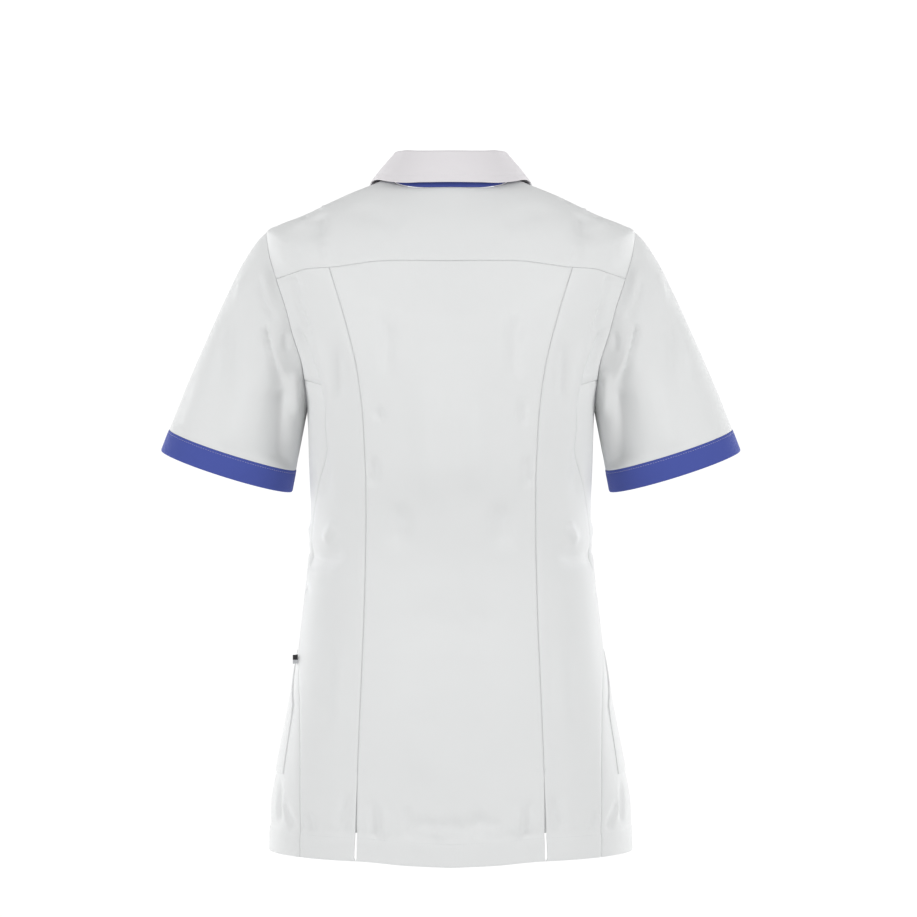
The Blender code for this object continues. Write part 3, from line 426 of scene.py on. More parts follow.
def body_slopes(angle, level):
    """How the body's points move with the angle, in metres a degree, and with the level."""
    small_angle, small_level = 0.05, 0.0002
    level = np.clip(level, small_level, LOWEST_LEVEL - small_level)
    by_angle = (body(angle + small_angle, level) - body(angle - small_angle, level)) / (2 * small_angle)
    by_level = (body(angle, level + small_level) - body(angle, level - small_level)) / (2 * small_level)
    return by_angle, by_level


def unit(vectors):
    return vectors / np.maximum(np.linalg.norm(vectors, axis=-1, keepdims=True), 1e-12)


def body_normal(angle, level):
    by_angle, by_level = body_slopes(angle, level)
    return unit(np.cross(by_angle, by_level))


def find_on_body(axes, targets, angle, level):
    """Angles and levels where two coordinates of the body have the target values, from a first guess."""
    for _ in range(30):
        missing = targets - body(angle, level)[:, axes]
        by_angle, by_level = body_slopes(angle, level)
        slope = np.stack([by_angle[:, axes], by_level[:, axes]], -1)
        step = np.linalg.solve(slope, missing[..., None])[..., 0]
        angle = angle + np.clip(step[:, 0], -6, 6)
        level = np.clip(level + np.clip(step[:, 1], -0.02, 0.02), 0.0005, LOWEST_LEVEL)
    return angle, level


def back_seam(columns, rows, count):
    """A seam that is given as seen from behind, as angles and levels, evenly spaced along it."""
    x, z = column(columns, rows, "x"), column(columns, rows, "z")
    run = np.concatenate([[0], np.cumsum(np.hypot(np.diff(x), np.diff(z)))])
    at = np.linspace(0, run[-1], count)
    wanted = np.stack([smooth(run, x, at), smooth(run, z, at)], -1)
    angle = np.degrees(np.arctan2(wanted[:, 0], 0.10))
    level = LEVEL_AT_ZERO_Z - wanted[:, 1]
    return np.stack(find_on_body([0, 2], wanted, angle, level), -1)


def armhole(turns):
    """The left armhole's seam as angles and levels, at turns in degrees round it."""
    turns = (np.asarray(turns, float) + 30) % 360 - 30
    target = np.stack([read_table(ARMHOLE_COLUMNS, ARMHOLE, "turn", name, turns) for name in ("y", "z")], -1)
    first_angle = 90 - target[:, 0] * 330
    first_level = np.interp(-target[:, 1], (0.04, 0.12, 0.22), (0.148, 0.188, 0.235))
    return np.stack(find_on_body([1, 2], target, first_angle, first_level), -1)


def cuff_ring(turns):
    """The sleeve's lower edge on the left, at turns in degrees: 0 outside, 90 at the back."""
    turn = np.radians(turns)
    outward = np.array([math.cos(CUFF_SLOPE), 0, math.sin(CUFF_SLOPE)])
    downward = np.array([math.sin(CUFF_SLOPE), 0, -math.cos(CUFF_SLOPE)])
    backward = np.array([0, 1, 0])
    return (
        np.array(CUFF_CENTRE)
        + CUFF_HALF_WIDTH * np.cos(turn)[..., None] * outward
        + CUFF_HALF_DEPTH * np.sin(turn)[..., None] * backward
        + CUFF_BACK_DROP * np.sin(turn)[..., None] * downward
    )


def armhole_walls(turns):
    """The left armhole's seam, and how the body's wall and the sleeve's go inwards from it, so that their edges
    meet evenly where the cloth bends over the shoulder."""
    seam = armhole(turns)
    points = body(*seam.T)
    ahead, behind = armhole(np.asarray(turns) + 1.0), armhole(np.asarray(turns) - 1.0)
    around = body(*ahead.T) - body(*behind.T)
    out_of_body = body_normal(*seam.T)
    first = 0.04
    down = first * (cuff_ring(turns) - points) + sleeve_puff(turns, np.full(len(points), first))
    out_of_sleeve = unit(np.cross(down, around))
    together = np.sum(out_of_body * out_of_sleeve, -1, keepdims=True)
    share = np.clip((together + 0.2) / 0.6, 0, 1)
    body_wall = unit(out_of_body + share * out_of_sleeve)
    body_wall /= -np.sum(body_wall * out_of_body, -1, keepdims=True)
    sleeve_wall = unit(out_of_sleeve + share * out_of_body)
    sleeve_wall /= -np.sum(sleeve_wall * out_of_sleeve, -1, keepdims=True)
    start = points + (1 - share) * 2 * HALF_SEAM * out_of_body
    return seam, body_wall, start, sleeve_wall


def sleeve_puff(turns, share):
    """How far the sleeve stands out of the straight line from armhole to cuff."""
    outside = np.array([math.cos(CUFF_SLOPE), 0, math.sin(CUFF_SLOPE)])
    out = read_table(SLEEVE_PUFF_COLUMNS, SLEEVE_PUFF, "share", "out", share)
    return (np.clip(np.cos(np.radians(turns)), 0, None) * out)[:, None] * outside


def sleeve_points(turns, shares):
    """The left sleeve's outer face, a row for each share of its length, which may differ from turn to turn."""
    start, end = armhole_walls(turns)[2], cuff_ring(turns)
    rows = []
    for share in shares:
        share = np.broadcast_to(share, len(turns))
        along = share[:, None]
        rows.append(start * (1 - along) + end * along + sleeve_puff(turns, share))
    return np.array(rows)


def collar_lines(angles):
    """The neck seam, the fold and the outer edge of the collar, and the directions up and out of its stand."""
    size = {name: read_table(COLLAR_COLUMNS, COLLAR, "angle", name, np.abs(angles)) for name in COLLAR_COLUMNS[1:]}
    seam = body(angles, np.zeros(len(angles)))
    plan = unit(seam * np.array([1, 1, 0]))
    fold = seam - plan * size["inward"][:, None]
    fold[:, 2] += size["rise"]
    fold[:, 1] -= size["forward"]
    edge = body(np.sign(angles) * size["edge_angle"], size["edge_level"])
    edge = edge + size["edge_out"][:, None] * unit(edge * np.array([1, 1, 0]))
    edge[:, 2] += size["edge_up"]
    along = unit(np.gradient(fold, axis=0))
    rise = fold - seam
    up = unit(rise - np.sum(rise * along, -1, keepdims=True) * along)
    out = np.cross(along, up)
    out *= np.sign(np.sum(out * (edge - seam), -1, keepdims=True))
    return seam, fold, edge, up, out


# ---------------------------------------------------------------- relief: creases, seams and hems


def smoothstep(low, high, at):
    t = np.clip((np.asarray(at, float) - low) / (high - low), 0, 1)
    return t * t * (3 - 2 * t)


def nearest_on_line(points, line):
    """For each point: its distance to the line, the share of the line's length, and the way to it from there."""
    run = np.diff(line, axis=0)
    length = np.linalg.norm(run, axis=1)
    start = np.concatenate([[0], np.cumsum(length)])
    best = np.full(len(points), np.inf)
    share, way, ahead = np.zeros(len(points)), np.zeros((len(points), 3)), np.zeros((len(points), 3))
    for n, step in enumerate(run):
        t = np.clip((points - line[n]) @ step / max(length[n] ** 2, 1e-12), 0, 1)
        off = points - line[n] - t[:, None] * step
        far = np.linalg.norm(off, axis=1)
        closer = far < best
        best[closer] = far[closer]
        share[closer] = (start[n] + t[closer] * length[n]) / start[-1]
        way[closer] = off[closer]
        ahead[closer] = step / max(length[n], 1e-12)
    return best, share, way, ahead


@functools.cache
def crease_line(number):
    """The left one of a crease's lines in space, bowed sideways on the flat cloth."""
    crease = dict(zip(CREASE_COLUMNS, CREASES[number]))
    places = np.array([[crease["across"], crease["down"]], [crease["end_across"], crease["end_down"]]], float)
    scale = np.array([ANGLE_TO_LENGTH, 1.0 if crease["cloth"] == "body" else 0.22])
    t = np.linspace(0, 1, 11)[:, None]
    path = (places[0] * (1 - t) + places[1] * t) * scale
    run = path[-1] - path[0]
    path = path + 4 * t * (1 - t) * crease["bow"] * np.array([-run[1], run[0]]) / max(np.linalg.norm(run), 1e-9)
    path = path / scale
    if crease["cloth"] == "body":
        return body(path[:, 0], path[:, 1])
    return sleeve_points(path[:, 0], [path[:, 1]])[0]


def crease_relief(cloth, points, normals, strength):
    """How far the creases lift or sink the cloth at each point."""
    height = np.zeros(len(points))
    for number, row in enumerate(CREASES):
        crease = dict(zip(CREASE_COLUMNS, row))
        if crease["cloth"] != cloth:
            continue
        for side in (1, -1):
            if crease["sides"] not in ("both", "left" if side > 0 else "right"):
                continue
            line = crease_line(number) * np.array([side, 1, 1])
            reach = 4 * max(crease["width"], crease["end_width"])
            near = np.flatnonzero(((points > line.min(0) - reach) & (points < line.max(0) + reach)).all(1))
            if not len(near):
                continue
            far, share, way, ahead = nearest_on_line(points[near], line)
            width = crease["width"] * (1 - share) + crease["end_width"] * share
            right = np.sum(np.cross(ahead, normals[near]) * way, -1) * side
            lean = abs(crease["lean"])
            width = width * np.where(right * crease["lean"] >= 0, 1 + lean, 1 - 0.8 * lean)
            fade = smoothstep(0, crease["fade_in"], share) * smoothstep(0, crease["fade_out"], 1 - share)
            height[near] += strength * crease["height"] * fade * np.exp(-((far / width) ** 2))
    return height


def along_runs(points, runs):
    """Distance from each point to the nearest of some lines."""
    far = np.full(len(points), np.inf)
    for line in runs:
        if len(line) > 1:
            far = np.minimum(far, nearest_on_line(points, line)[0])
    return far


def body_relief(angle, level, settings):
    """Height of the worn cloth over the smooth body: its creases and its hem."""
    points, normals = body(angle, level), body_normal(angle, level)
    height = crease_relief("body", points, normals, settings.crease_strength)
    hem = hem_level(angle) - level
    height += settings.fold_step * smoothstep(settings.hem_depth + 0.0012, settings.hem_depth - 0.0006, hem)
    height -= 1.6 * settings.stitch_sink * np.exp(-(((hem - settings.hem_depth + 0.0015) / 0.0011) ** 2))
    around = np.radians(angle)
    uneven = 0.55 + 0.25 * np.sin(9 * around + 0.6) + 0.20 * np.sin(23 * around + 2.1)
    height -= settings.hem_pull * uneven * np.exp(-(((hem - settings.hem_depth - 0.0040) / 0.0045) ** 2))
    return points, normals, height


# ---------------------------------------------------------------- meshes


def linked(name, mesh):
    made = bpy.data.objects.new(name, mesh)
    bpy.context.scene.collection.objects.link(made)
    return made


def cloth_object(name, corners, faces, spread, material, smooth_angle=50):
    """A cloth piece, with a UV map that holds the flat cloth's places in metres."""
    mesh = bpy.data.meshes.new(name)
    mesh.from_pydata([tuple(p) for p in corners], [], [tuple(int(i) for i in f) for f in faces])
    mesh.validate()
    layer = mesh.uv_layers.new(name="flat_cloth")
    index = np.empty(len(mesh.loops), np.int32)
    mesh.loops.foreach_get("vertex_index", index)
    layer.data.foreach_set("uv", np.asarray(spread, np.float32)[index].ravel())
    mesh.materials.append(material)
    mesh.shade_smooth()
    mesh.set_sharp_from_angle(angle=math.radians(smooth_angle))
    return linked(name, mesh)


def grid_normals(points, closed):
    """Outward normals of a grid whose rows go down and whose columns go round by the angle."""
    down = np.gradient(points, axis=0)
    if closed:
        across = np.roll(points, -1, 1) - np.roll(points, 1, 1)
    else:
        across = np.gradient(points, axis=1)
    return unit(np.cross(across, down))


def grid_wall(points, wall, closed, first_row=None):
    """Corners and faces of a wall whose outer face is a grid of points: closed joins its last column to its first,
    and first_row holds the ways inwards of the first row's points."""
    rows, columns = points.shape[:2]
    inwards = -grid_normals(points, closed)
    if first_row is not None:
        inwards[0] = first_row
    corners = np.concatenate([points.reshape(-1, 3), (points + wall * inwards).reshape(-1, 3)])
    under = rows * columns
    faces = []
    spans = columns if closed else columns - 1
    for r in range(rows - 1):
        for c in range(spans):
            a, b = r * columns + c, r * columns + (c + 1) % columns
            d, e = a + columns, b + columns
            faces += [(a, b, e, d), (a + under, d + under, e + under, b + under)]
    for c in range(spans):
        a, b = c, (c + 1) % columns
        d, e = a + (rows - 1) * columns, b + (rows - 1) * columns
        faces += [(a, a + under, b + under, b), (d, e, e + under, d + under)]
    if not closed:
        for r in range(rows - 1):
            a, d = r * columns, (r + 1) * columns
            b, e = a + columns - 1, d + columns - 1
            faces += [(a, d, d + under, a + under), (b, b + under, e + under, e)]
    return corners, faces


def seam_run(places, half_gap=HALF_SEAM, inwards=(0.0, 0.0, 0.0), sewn=1.0):
    """Part of an outline, as rows of angle, level, half gap, the wall's way inwards, zero for straight in, and
    how far it is sewn to a neighbour, from 0 to 1."""
    rows = np.empty((len(places), 7))
    rows[:, :2], rows[:, 2], rows[:, 3:6], rows[:, 6] = places, half_gap, inwards, sewn
    return rows


def mirror_run(run):
    """The same part of an outline on the other side of the body, in the other direction."""
    flipped = run[::-1].copy()
    flipped[:, [0, 3]] *= -1
    return flipped


def armhole_run(first, last):
    turns = np.arange(first, last + 1, ARMHOLE_STEP)
    seam, body_wall, _, _ = armhole_walls(turns)
    return seam_run(seam, inwards=body_wall)


def outline_of(*runs):
    """Joins parts of an outline, end to start, into one closed outline."""
    rows = []
    for run in runs:
        for row in run:
            if rows and np.abs(rows[-1][:2] - row[:2]).max() < 1e-7:
                rows[-1][2] = min(rows[-1][2], row[2])
                rows[-1][3:6] = row[3:6] if not rows[-1][3:6].any() else rows[-1][3:6]
            else:
                rows.append(row.copy())
    if np.abs(rows[0][:2] - rows[-1][:2]).max() < 1e-7:
        last = rows.pop()
        rows[0][3:6] = last[3:6] if not rows[0][3:6].any() else rows[0][3:6]
    return np.array(rows)


def hem_line(first_angle, last_angle):
    """Part of the hem, with the cloth cut straight across."""
    count = round(abs(last_angle - first_angle) * ANGLE_TO_LENGTH / TILE) + 1
    angles = np.linspace(first_angle, last_angle, count)
    return seam_run(np.stack([angles, hem_level(angles)], -1), 0.0, sewn=0.0)


def level_line(first_angle, last_angle, level):
    count = max(2, round(abs(last_angle - first_angle) * ANGLE_TO_LENGTH / TILE) + 1)
    return seam_run(np.stack([np.linspace(first_angle, last_angle, count), np.full(count, level)], -1), 0.0)


def drawn_in(outline, more=0.0):
    """The outline's places moved in by its half gaps and some more, measured on the cloth."""
    angle, level = outline[:, :2].T
    gap = outline[:, 2] + more
    by_angle, by_level = body_slopes(angle, level)
    normal = unit(np.cross(by_angle, by_level))
    step = np.roll(outline[:, :2], -1, 0) - outline[:, :2]
    ahead = unit(by_angle * step[:, :1] + by_level * step[:, 1:])
    step = outline[:, :2] - np.roll(outline[:, :2], 1, 0)
    behind = unit(by_angle * step[:, :1] + by_level * step[:, 1:])
    inward_ahead, inward_behind = np.cross(normal, ahead), np.cross(normal, behind)
    share = 1 + np.sum(inward_ahead * inward_behind, -1, keepdims=True)
    move = (inward_ahead + inward_behind) / np.maximum(share, 0.35) * gap[:, None]
    slope = np.stack([by_angle, by_level], -1)
    change = np.linalg.solve(
        np.einsum("nij,nik->njk", slope, slope), np.einsum("nij,ni->nj", slope, move)[..., None]
    )
    return outline[:, :2] + change[..., 0]


def inside(loop, points):
    """Which flat points lie inside a closed flat loop."""
    hit = np.zeros(len(points), bool)
    for (x1, y1), (x2, y2) in zip(loop, np.roll(loop, -1, 0)):
        if y1 == y2:
            continue
        between = (points[:, 1] >= min(y1, y2)) & (points[:, 1] < max(y1, y2))
        hit ^= between & (points[:, 0] < x1 + (points[:, 1] - y1) * (x2 - x1) / (y2 - y1))
    return hit


def distance_to(loop, points):
    nearest = np.full(len(points), np.inf)
    for start, end in zip(loop, np.roll(loop, -1, 0)):
        run = end - start
        share = np.clip((points - start) @ run / max(run @ run, 1e-12), 0, 1)
        nearest = np.minimum(nearest, np.linalg.norm(points - start - share[:, None] * run, axis=1))
    return nearest


def tiled(loops):
    """Triangles over the first loop, which follow the edges of the others too, and which loops hold each."""
    edges = [np.asarray(loop, float) * np.array([ANGLE_TO_LENGTH, 1.0]) for loop in loops]
    low, high = edges[0].min(0), edges[0].max(0)
    grid = np.stack(np.meshgrid(np.arange(low[0], high[0], TILE), np.arange(low[1], high[1], TILE)), -1)
    grid[1::2, :, 0] += TILE / 2
    grid = grid.reshape(-1, 2)
    grid = grid[inside(edges[0], grid)]
    for edge in edges:
        grid = grid[distance_to(edge, grid) > 0.5 * TILE]
    corners = np.concatenate([*edges, grid])
    rings, start = [], 0
    for edge in edges:
        rings.append(list(range(start, start + len(edge))))
        start += len(edge)
    found = delaunay_2d_cdt([tuple(p) for p in corners], [], rings, 1, 1e-7, True)
    places = np.array([tuple(p) for p in found[0]]) / np.array([ANGLE_TO_LENGTH, 1.0])
    sources = [min(source) if source else None for source in found[3]]
    kept = [(tuple(face), set(held)) for face, held in zip(found[2], found[5]) if 0 in held]
    return places, sources, kept


def wall_faces(places, faces, under):
    """Faces of a wall: the outer ones, each turned to point out of the body, the inner ones and the rim."""
    made, borders = [], set()
    for a, b, c in faces:
        (x1, y1), (x2, y2), (x3, y3) = places[a], places[b], places[c]
        if (x2 - x1) * (y3 - y1) <= (x3 - x1) * (y2 - y1):
            b, c = c, b
        made += [(a, b, c), (a + under, c + under, b + under)]
        for start, end in ((a, b), (b, c), (c, a)):
            if (end, start) in borders:
                borders.remove((end, start))
            else:
                borders.add((start, end))
    return made + [(a, a + under, b + under, b) for a, b in sorted(borders)]


def sewn_runs(outline):
    """The outline's sewn stretches, as lines in space."""
    runs, run = [], []
    points = body(outline[:, 0], outline[:, 1])
    for n in range(len(outline) + 1):
        row = outline[n % len(outline)]
        if row[6] > 0.5:
            run.append(points[n % len(outline)])
        elif run:
            runs.append(np.array(run))
            run = []
    if run:
        runs.append(np.array(run))
    return runs


def body_cloth(name, outline, side, settings, material):
    """A panel of the body as a thin shell, its sewn edges pressed down and its cut edges rounded over."""
    loops = [drawn_in(outline), drawn_in(outline, 0.0009), drawn_in(outline, 0.0026)]
    places, sources, faces = tiled(loops)
    inwards = np.zeros((len(places), 3))
    for n, source in enumerate(sources):
        if source is not None and source < len(outline):
            inwards[n] = outline[source, 3:6]
    angle, level = places.T
    mirrored = np.array([side, 1, 1])
    points, normals, height = body_relief(angle * side, level, settings)
    points, normals = points * mirrored, normals * mirrored
    sewn = along_runs(points, sewn_runs(outline))
    height -= settings.seam_dip * np.exp(-((sewn / settings.seam_width) ** 2))
    height += settings.allowance_lift * smoothstep(0.0012, 0.0030, sewn) * smoothstep(0.0125, 0.0100, sewn)
    if name.startswith("back_centre"):
        height += settings.centre_proud * smoothstep(0.0002, 0.0010, sewn) * smoothstep(0.0060, 0.0012, sewn)
    edge = distance_to(body(*loops[0].T), points)
    height -= 0.3 * settings.cloth * np.exp(-((edge / 0.0005) ** 2))
    hem = hem_level(angle) - level
    turned_up = smoothstep(settings.hem_depth + 0.0008, settings.hem_depth, hem)
    thick = settings.cloth + settings.fold_step * 1.6 * turned_up
    ways = np.where(np.abs(inwards).sum(-1, keepdims=True) > 0, inwards, -normals)
    outer = points + height[:, None] * normals
    inner = outer + thick[:, None] * ways
    corners = np.concatenate([outer, inner]) * mirrored
    made = wall_faces(places, [face for face, _ in faces], len(places))
    if side < 0:
        made = [tuple(reversed(face)) for face in made]
    spread = np.concatenate([places * np.array([ANGLE_TO_LENGTH, 1.0])] * 2)
    return cloth_object(name, corners, made, spread, material)


def side_seam(top, count=125):
    """The side seam from its top place to the hem."""
    levels = np.concatenate([[top[1]], column(SIDE_SEAM_COLUMNS, SIDE_SEAM, "level")])
    angles = np.concatenate([[top[0]], column(SIDE_SEAM_COLUMNS, SIDE_SEAM, "angle")])
    at = np.linspace(top[1], hem_level(angles[-1]), count)
    return seam_run(np.stack([smooth(levels, angles, at), at], -1))


def princess_seam(count=150):
    """The seam from the yoke to the hem, which opens as a vent below the vent's top."""
    places = back_seam(PRINCESS_SEAM_COLUMNS, PRINCESS_SEAM, count)
    places[-1, 1] = hem_level(places[-1, 0])
    hem_z = LEVEL_AT_ZERO_Z - LOWEST_LEVEL
    opened = np.clip((VENT_TOP_Z - body(*places.T)[:, 2]) / (VENT_TOP_Z - hem_z), 0, 1)
    return seam_run(places, HALF_SEAM + opened * VENT_HALF_GAP_AT_HEM, sewn=opened < 0.02)


def yoke_seam(corner, end, count=42):
    """The seam from the centre back past the princess seam's top to the armhole, and which point is that top."""
    places = np.concatenate([back_seam(YOKE_SEAM_COLUMNS, YOKE_SEAM, count), [end]])
    top = int(np.argmin(np.abs(places[:, 0] - corner[0])))
    places[top] = corner
    return seam_run(places), top


def band_edge(count=150):
    """The front band's left edge from the neck seam to the hem."""
    at = np.linspace(0.0, hem_level(180.0), count)
    angle = np.full(count, 172.0)
    for _ in range(20):
        x = body(angle, at)[:, 0]
        slope = (body(angle + 0.1, at)[:, 0] - x) / 0.1
        angle = angle + np.clip((BAND_HALF_WIDTH - x) / slope, -2, 2)
    return seam_run(np.stack([angle, at], -1))


def panel_outlines():
    """The outline of each body panel of the left half, or of the whole width where it crosses the centre."""
    upper_back = armhole_run(SHOULDER_SEAM_TURN - 360, YOKE_TURN)
    lower_back = armhole_run(YOKE_TURN, SIDE_SEAM_TURN)
    lower_front = armhole_run(SIDE_SEAM_TURN, SHOULDER_SEAM_TURN)
    princess = princess_seam()
    yoke, top = yoke_seam(princess[0, :2], lower_back[0, :2])
    side = side_seam(lower_back[-1, :2])
    edge = band_edge()
    tip = upper_back[0, :2]
    neck = np.array([tip[0] + SHOULDER_SEAM_FORWARD_DEG, 0.0])
    shoulder = seam_run(neck + np.linspace(0, 1, 32)[:, None] * (tip - neck))
    half_yoke = (shoulder, upper_back, yoke[::-1])
    mirrored_half = [mirror_run(run) for run in reversed(half_yoke)]
    return {
        "back_yoke": outline_of(level_line(-neck[0], neck[0], 0.0), *half_yoke, *mirrored_half),
        "back_centre": outline_of(
            mirror_run(yoke[: top + 1]),
            yoke[: top + 1],
            princess,
            hem_line(princess[-1, 0], -princess[-1, 0]),
            mirror_run(princess),
        ),
        "back_side": outline_of(
            yoke[top:], lower_back, side, hem_line(side[-1, 0], princess[-1, 0]), princess[::-1]
        ),
        "front": outline_of(
            shoulder[::-1],
            level_line(neck[0], edge[0, 0], 0.0),
            edge,
            hem_line(edge[-1, 0], side[-1, 0]),
            side[::-1],
            lower_front,
        ),
    }


def finished(made, nodes):
    """Fits a finished piece into the frame: it rides on the body, and stands for its solid."""
    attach(made, "root")
    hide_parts(*nodes)
    return made


def sleeve_cloth(side, settings, material):
    turns = -np.arange(0, 360, 2.5)
    length = np.linalg.norm(cuff_ring(turns) - sleeve_points(turns, [0.0])[0], axis=1)
    first, last = HALF_SEAM / length, 1 - (CUFF_BAND + 2 * HALF_SEAM) / length
    rows = np.concatenate([[0, 0.004, 0.011], np.linspace(0.022, 0.98, 46), [0.991, 0.997, 1.0]])
    shares = [first + (last - first) * row for row in rows]
    points = sleeve_points(turns, shares)
    normals = grid_normals(points, True)
    flat_points, flat_normals = points.reshape(-1, 3), normals.reshape(-1, 3)
    mirror = np.array([side, 1, 1])
    height = crease_relief("sleeve", flat_points * mirror, flat_normals * mirror, settings.crease_strength)
    height = height.reshape(points.shape[:2])
    down = np.array(shares) * length
    seam = down - down[0]
    cuff = down[-1] - down
    height = height * smoothstep(0, 0.006, seam) * smoothstep(0, 0.012, cuff)
    grooves = np.exp(-((seam / settings.seam_width) ** 2)) + np.exp(-((cuff / settings.seam_width) ** 2))
    height -= settings.seam_dip * grooves
    points = points + height[..., None] * normals
    corners, faces = grid_wall(points, settings.cloth, closed=True, first_row=armhole_walls(turns)[3])
    if side < 0:
        corners, faces = corners * mirror, [tuple(reversed(face)) for face in faces]
    across = np.broadcast_to(np.radians(-turns) * 0.066, points.shape[:2])
    spread = np.stack([across, down], -1).reshape(-1, 2)
    name = "sleeve_cloth_left" if side > 0 else "sleeve_cloth_right"
    return cloth_object(name, corners, faces, np.concatenate([spread, spread]), material)


def cuff_rows(turns, rows):
    """The outer face of the cuff band as rows down the sleeve, at shares of the band's depth."""
    length = np.linalg.norm(cuff_ring(turns) - sleeve_points(turns, [0.0])[0], axis=1)
    top = 1 - CUFF_BAND / length
    band = sleeve_points(turns, [top + (1 - top) * row for row in rows])
    return band + CUFF_PROUD * grid_normals(band, True)


def cuff_cloth(side, settings, material):
    """The cuff band, turned up double: rounded over at both edges, with a furrow under its upper stitching."""
    turns = -np.arange(0, 360, 2.5)
    rows = np.array([0.0, 0.02, 0.05, 0.09, 0.12, 0.15, 0.2, 0.3, 0.4, 0.5, 0.6, 0.7, 0.8, 0.88, 0.94, 0.975, 1.0])
    points = cuff_rows(turns, rows)
    depth = rows * CUFF_BAND
    profile = -0.0005 * np.exp(-((depth / 0.0008) ** 2)) - 0.0006 * np.exp(-(((CUFF_BAND - depth) / 0.0007) ** 2))
    profile = profile - settings.stitch_sink * np.exp(-(((depth - settings.cuff_stitch) / 0.0009) ** 2))
    turn = np.radians(-turns)
    ripple = 0.00025 * np.sin(7 * turn + 0.6) * np.sin(3 * turn) * np.sin(math.pi * rows)[:, None]
    points = points + (profile[:, None] + ripple)[..., None] * grid_normals(points, True)
    corners, faces = grid_wall(points, 2 * settings.cloth, closed=True)
    if side < 0:
        corners, faces = corners * np.array([-1, 1, 1]), [tuple(reversed(face)) for face in faces]
    across = np.broadcast_to(turn * 0.066, points.shape[:2])
    spread = np.stack([across, np.broadcast_to(depth[:, None], across.shape)], -1).reshape(-1, 2)
    name = "cuff_cloth_left" if side > 0 else "cuff_cloth_right"
    return cloth_object(name, corners, faces, np.concatenate([spread, spread]), material, 60)


def collar_rows(angles, settings):
    """The white collar's middle surface from inside the neck, over the fold and down to its outer edge."""
    seam, fold, edge, up, out = collar_lines(angles)
    inner_top = fold - FOLD_RADIUS * out
    inner_base = seam - (FOLD_RADIUS + COLLAR_WALL) * out + 0.0012 * up
    rows = [inner_base * (1 - t) + inner_top * t for t in (0.0, 0.05, 0.25, 0.5, 0.75)]
    for turn in np.radians((180, 158, 135, 112, 90, 68, 45, 22, 0)):
        rows.append(fold + FOLD_RADIUS * (math.cos(turn) * out + math.sin(turn) * up))
    fall_top = rows[-1]
    fall = np.linalg.norm(edge - fall_top, axis=1, keepdims=True)
    for share in (0.1, 0.2, 0.3, 0.4, 0.5, 0.6, 0.66, 0.7, 0.74, 0.78, 0.82, 0.87, 0.92, 0.96, 0.985, 1.0):
        swell = COLLAR_BULGE * math.sin(math.pi * share)
        to_edge = (1 - share) * fall
        furrow = settings.stitch_sink * np.exp(-(((to_edge - settings.collar_stitch) / 0.0011) ** 2))
        rim = 0.0004 * np.exp(-((to_edge / 0.0007) ** 2))
        rows.append(fall_top * (1 - share) + edge * share + (swell - furrow - rim) * out)
    return np.array(rows), seam, fold, edge, up, out


def collar_cloth(settings, material):
    angles = np.linspace(-COLLAR[-1][0], COLLAR[-1][0], COLLAR_POINTS_ROUND)
    middle = collar_rows(angles, settings)[0]
    points = middle + COLLAR_WALL / 2 * grid_normals(middle, False)
    corners, faces = grid_wall(points, COLLAR_WALL, closed=False)
    down = np.concatenate([[0], np.cumsum(np.linalg.norm(np.diff(points, axis=0), axis=-1).mean(1))])
    across = np.broadcast_to(angles * 0.0012, points.shape[:2])
    spread = np.stack([across, np.broadcast_to(down[:, None], across.shape)], -1).reshape(-1, 2)
    return cloth_object("collar_cloth", corners, faces, np.concatenate([spread, spread]), material, 60)


def stand_rows(angles, shares):
    seam, fold, _, up, _ = collar_lines(angles)
    base, top = seam + STAND_CLEARANCE * up, fold + STAND_INTO_FOLD * up
    return np.array([top * (1 - share) + base * share for share in shares])


def stand_cloth(settings, material):
    """The blue stand under the collar, with a pressed lower edge."""
    angles = np.linspace(-COLLAR[-1][0], COLLAR[-1][0], COLLAR_POINTS_ROUND)
    shares = np.array([0.0, 0.15, 0.3, 0.45, 0.6, 0.7, 0.78, 0.84, 0.9, 0.95, 0.98, 1.0])
    points = stand_rows(angles, shares)
    dip = -0.0004 * np.exp(-(((1 - shares) / 0.03) ** 2))
    points = points + dip[:, None, None] * grid_normals(points, False)
    corners, faces = grid_wall(points, COLLAR_WALL, closed=False)
    across = np.broadcast_to(angles * 0.0012, points.shape[:2])
    spread = np.stack([across, np.broadcast_to(shares[:, None] * 0.036, across.shape)], -1).reshape(-1, 2)
    return cloth_object("stand_cloth", corners, faces, np.concatenate([spread, spread]), material, 60)


def band_rows(shares, count=150):
    """The outer face of the front band, a row for each level and a column for each share from -1 to 1."""
    rows = []
    for angle, level in band_edge(count)[:, :2]:
        half = (180 - angle) - math.degrees(2 * HALF_SEAM / 0.12)
        at = 180 + shares * half
        levels = np.full(len(shares), level)
        rows.append(body(at, levels) + BAND_PROUD * body_normal(at, levels))
    return np.array(rows)


def band_cloth(settings, material):
    half = np.array([0.2, 0.4, 0.6, 0.68, 0.75, 0.9, 0.95, 0.985, 1])
    shares = np.concatenate([-half[::-1], [0.0], half])
    points = band_rows(shares)
    from_edge = (1 - np.abs(shares)) * BAND_HALF_WIDTH
    dip = -0.0005 * np.exp(-((from_edge / 0.0007) ** 2))
    dip = dip - settings.stitch_sink * np.exp(-(((from_edge - settings.edge_stitch) / 0.0009) ** 2))
    points = points + dip[None, :, None] * grid_normals(points, False)
    corners, faces = grid_wall(points, settings.cloth + BAND_PROUD, closed=False)
    down = np.linspace(0, 0.70, len(points))
    spread = np.stack(np.meshgrid(shares * BAND_HALF_WIDTH, down), -1).reshape(-1, 2)
    return cloth_object("band_cloth", corners, faces, np.concatenate([spread, spread]), material, 60)


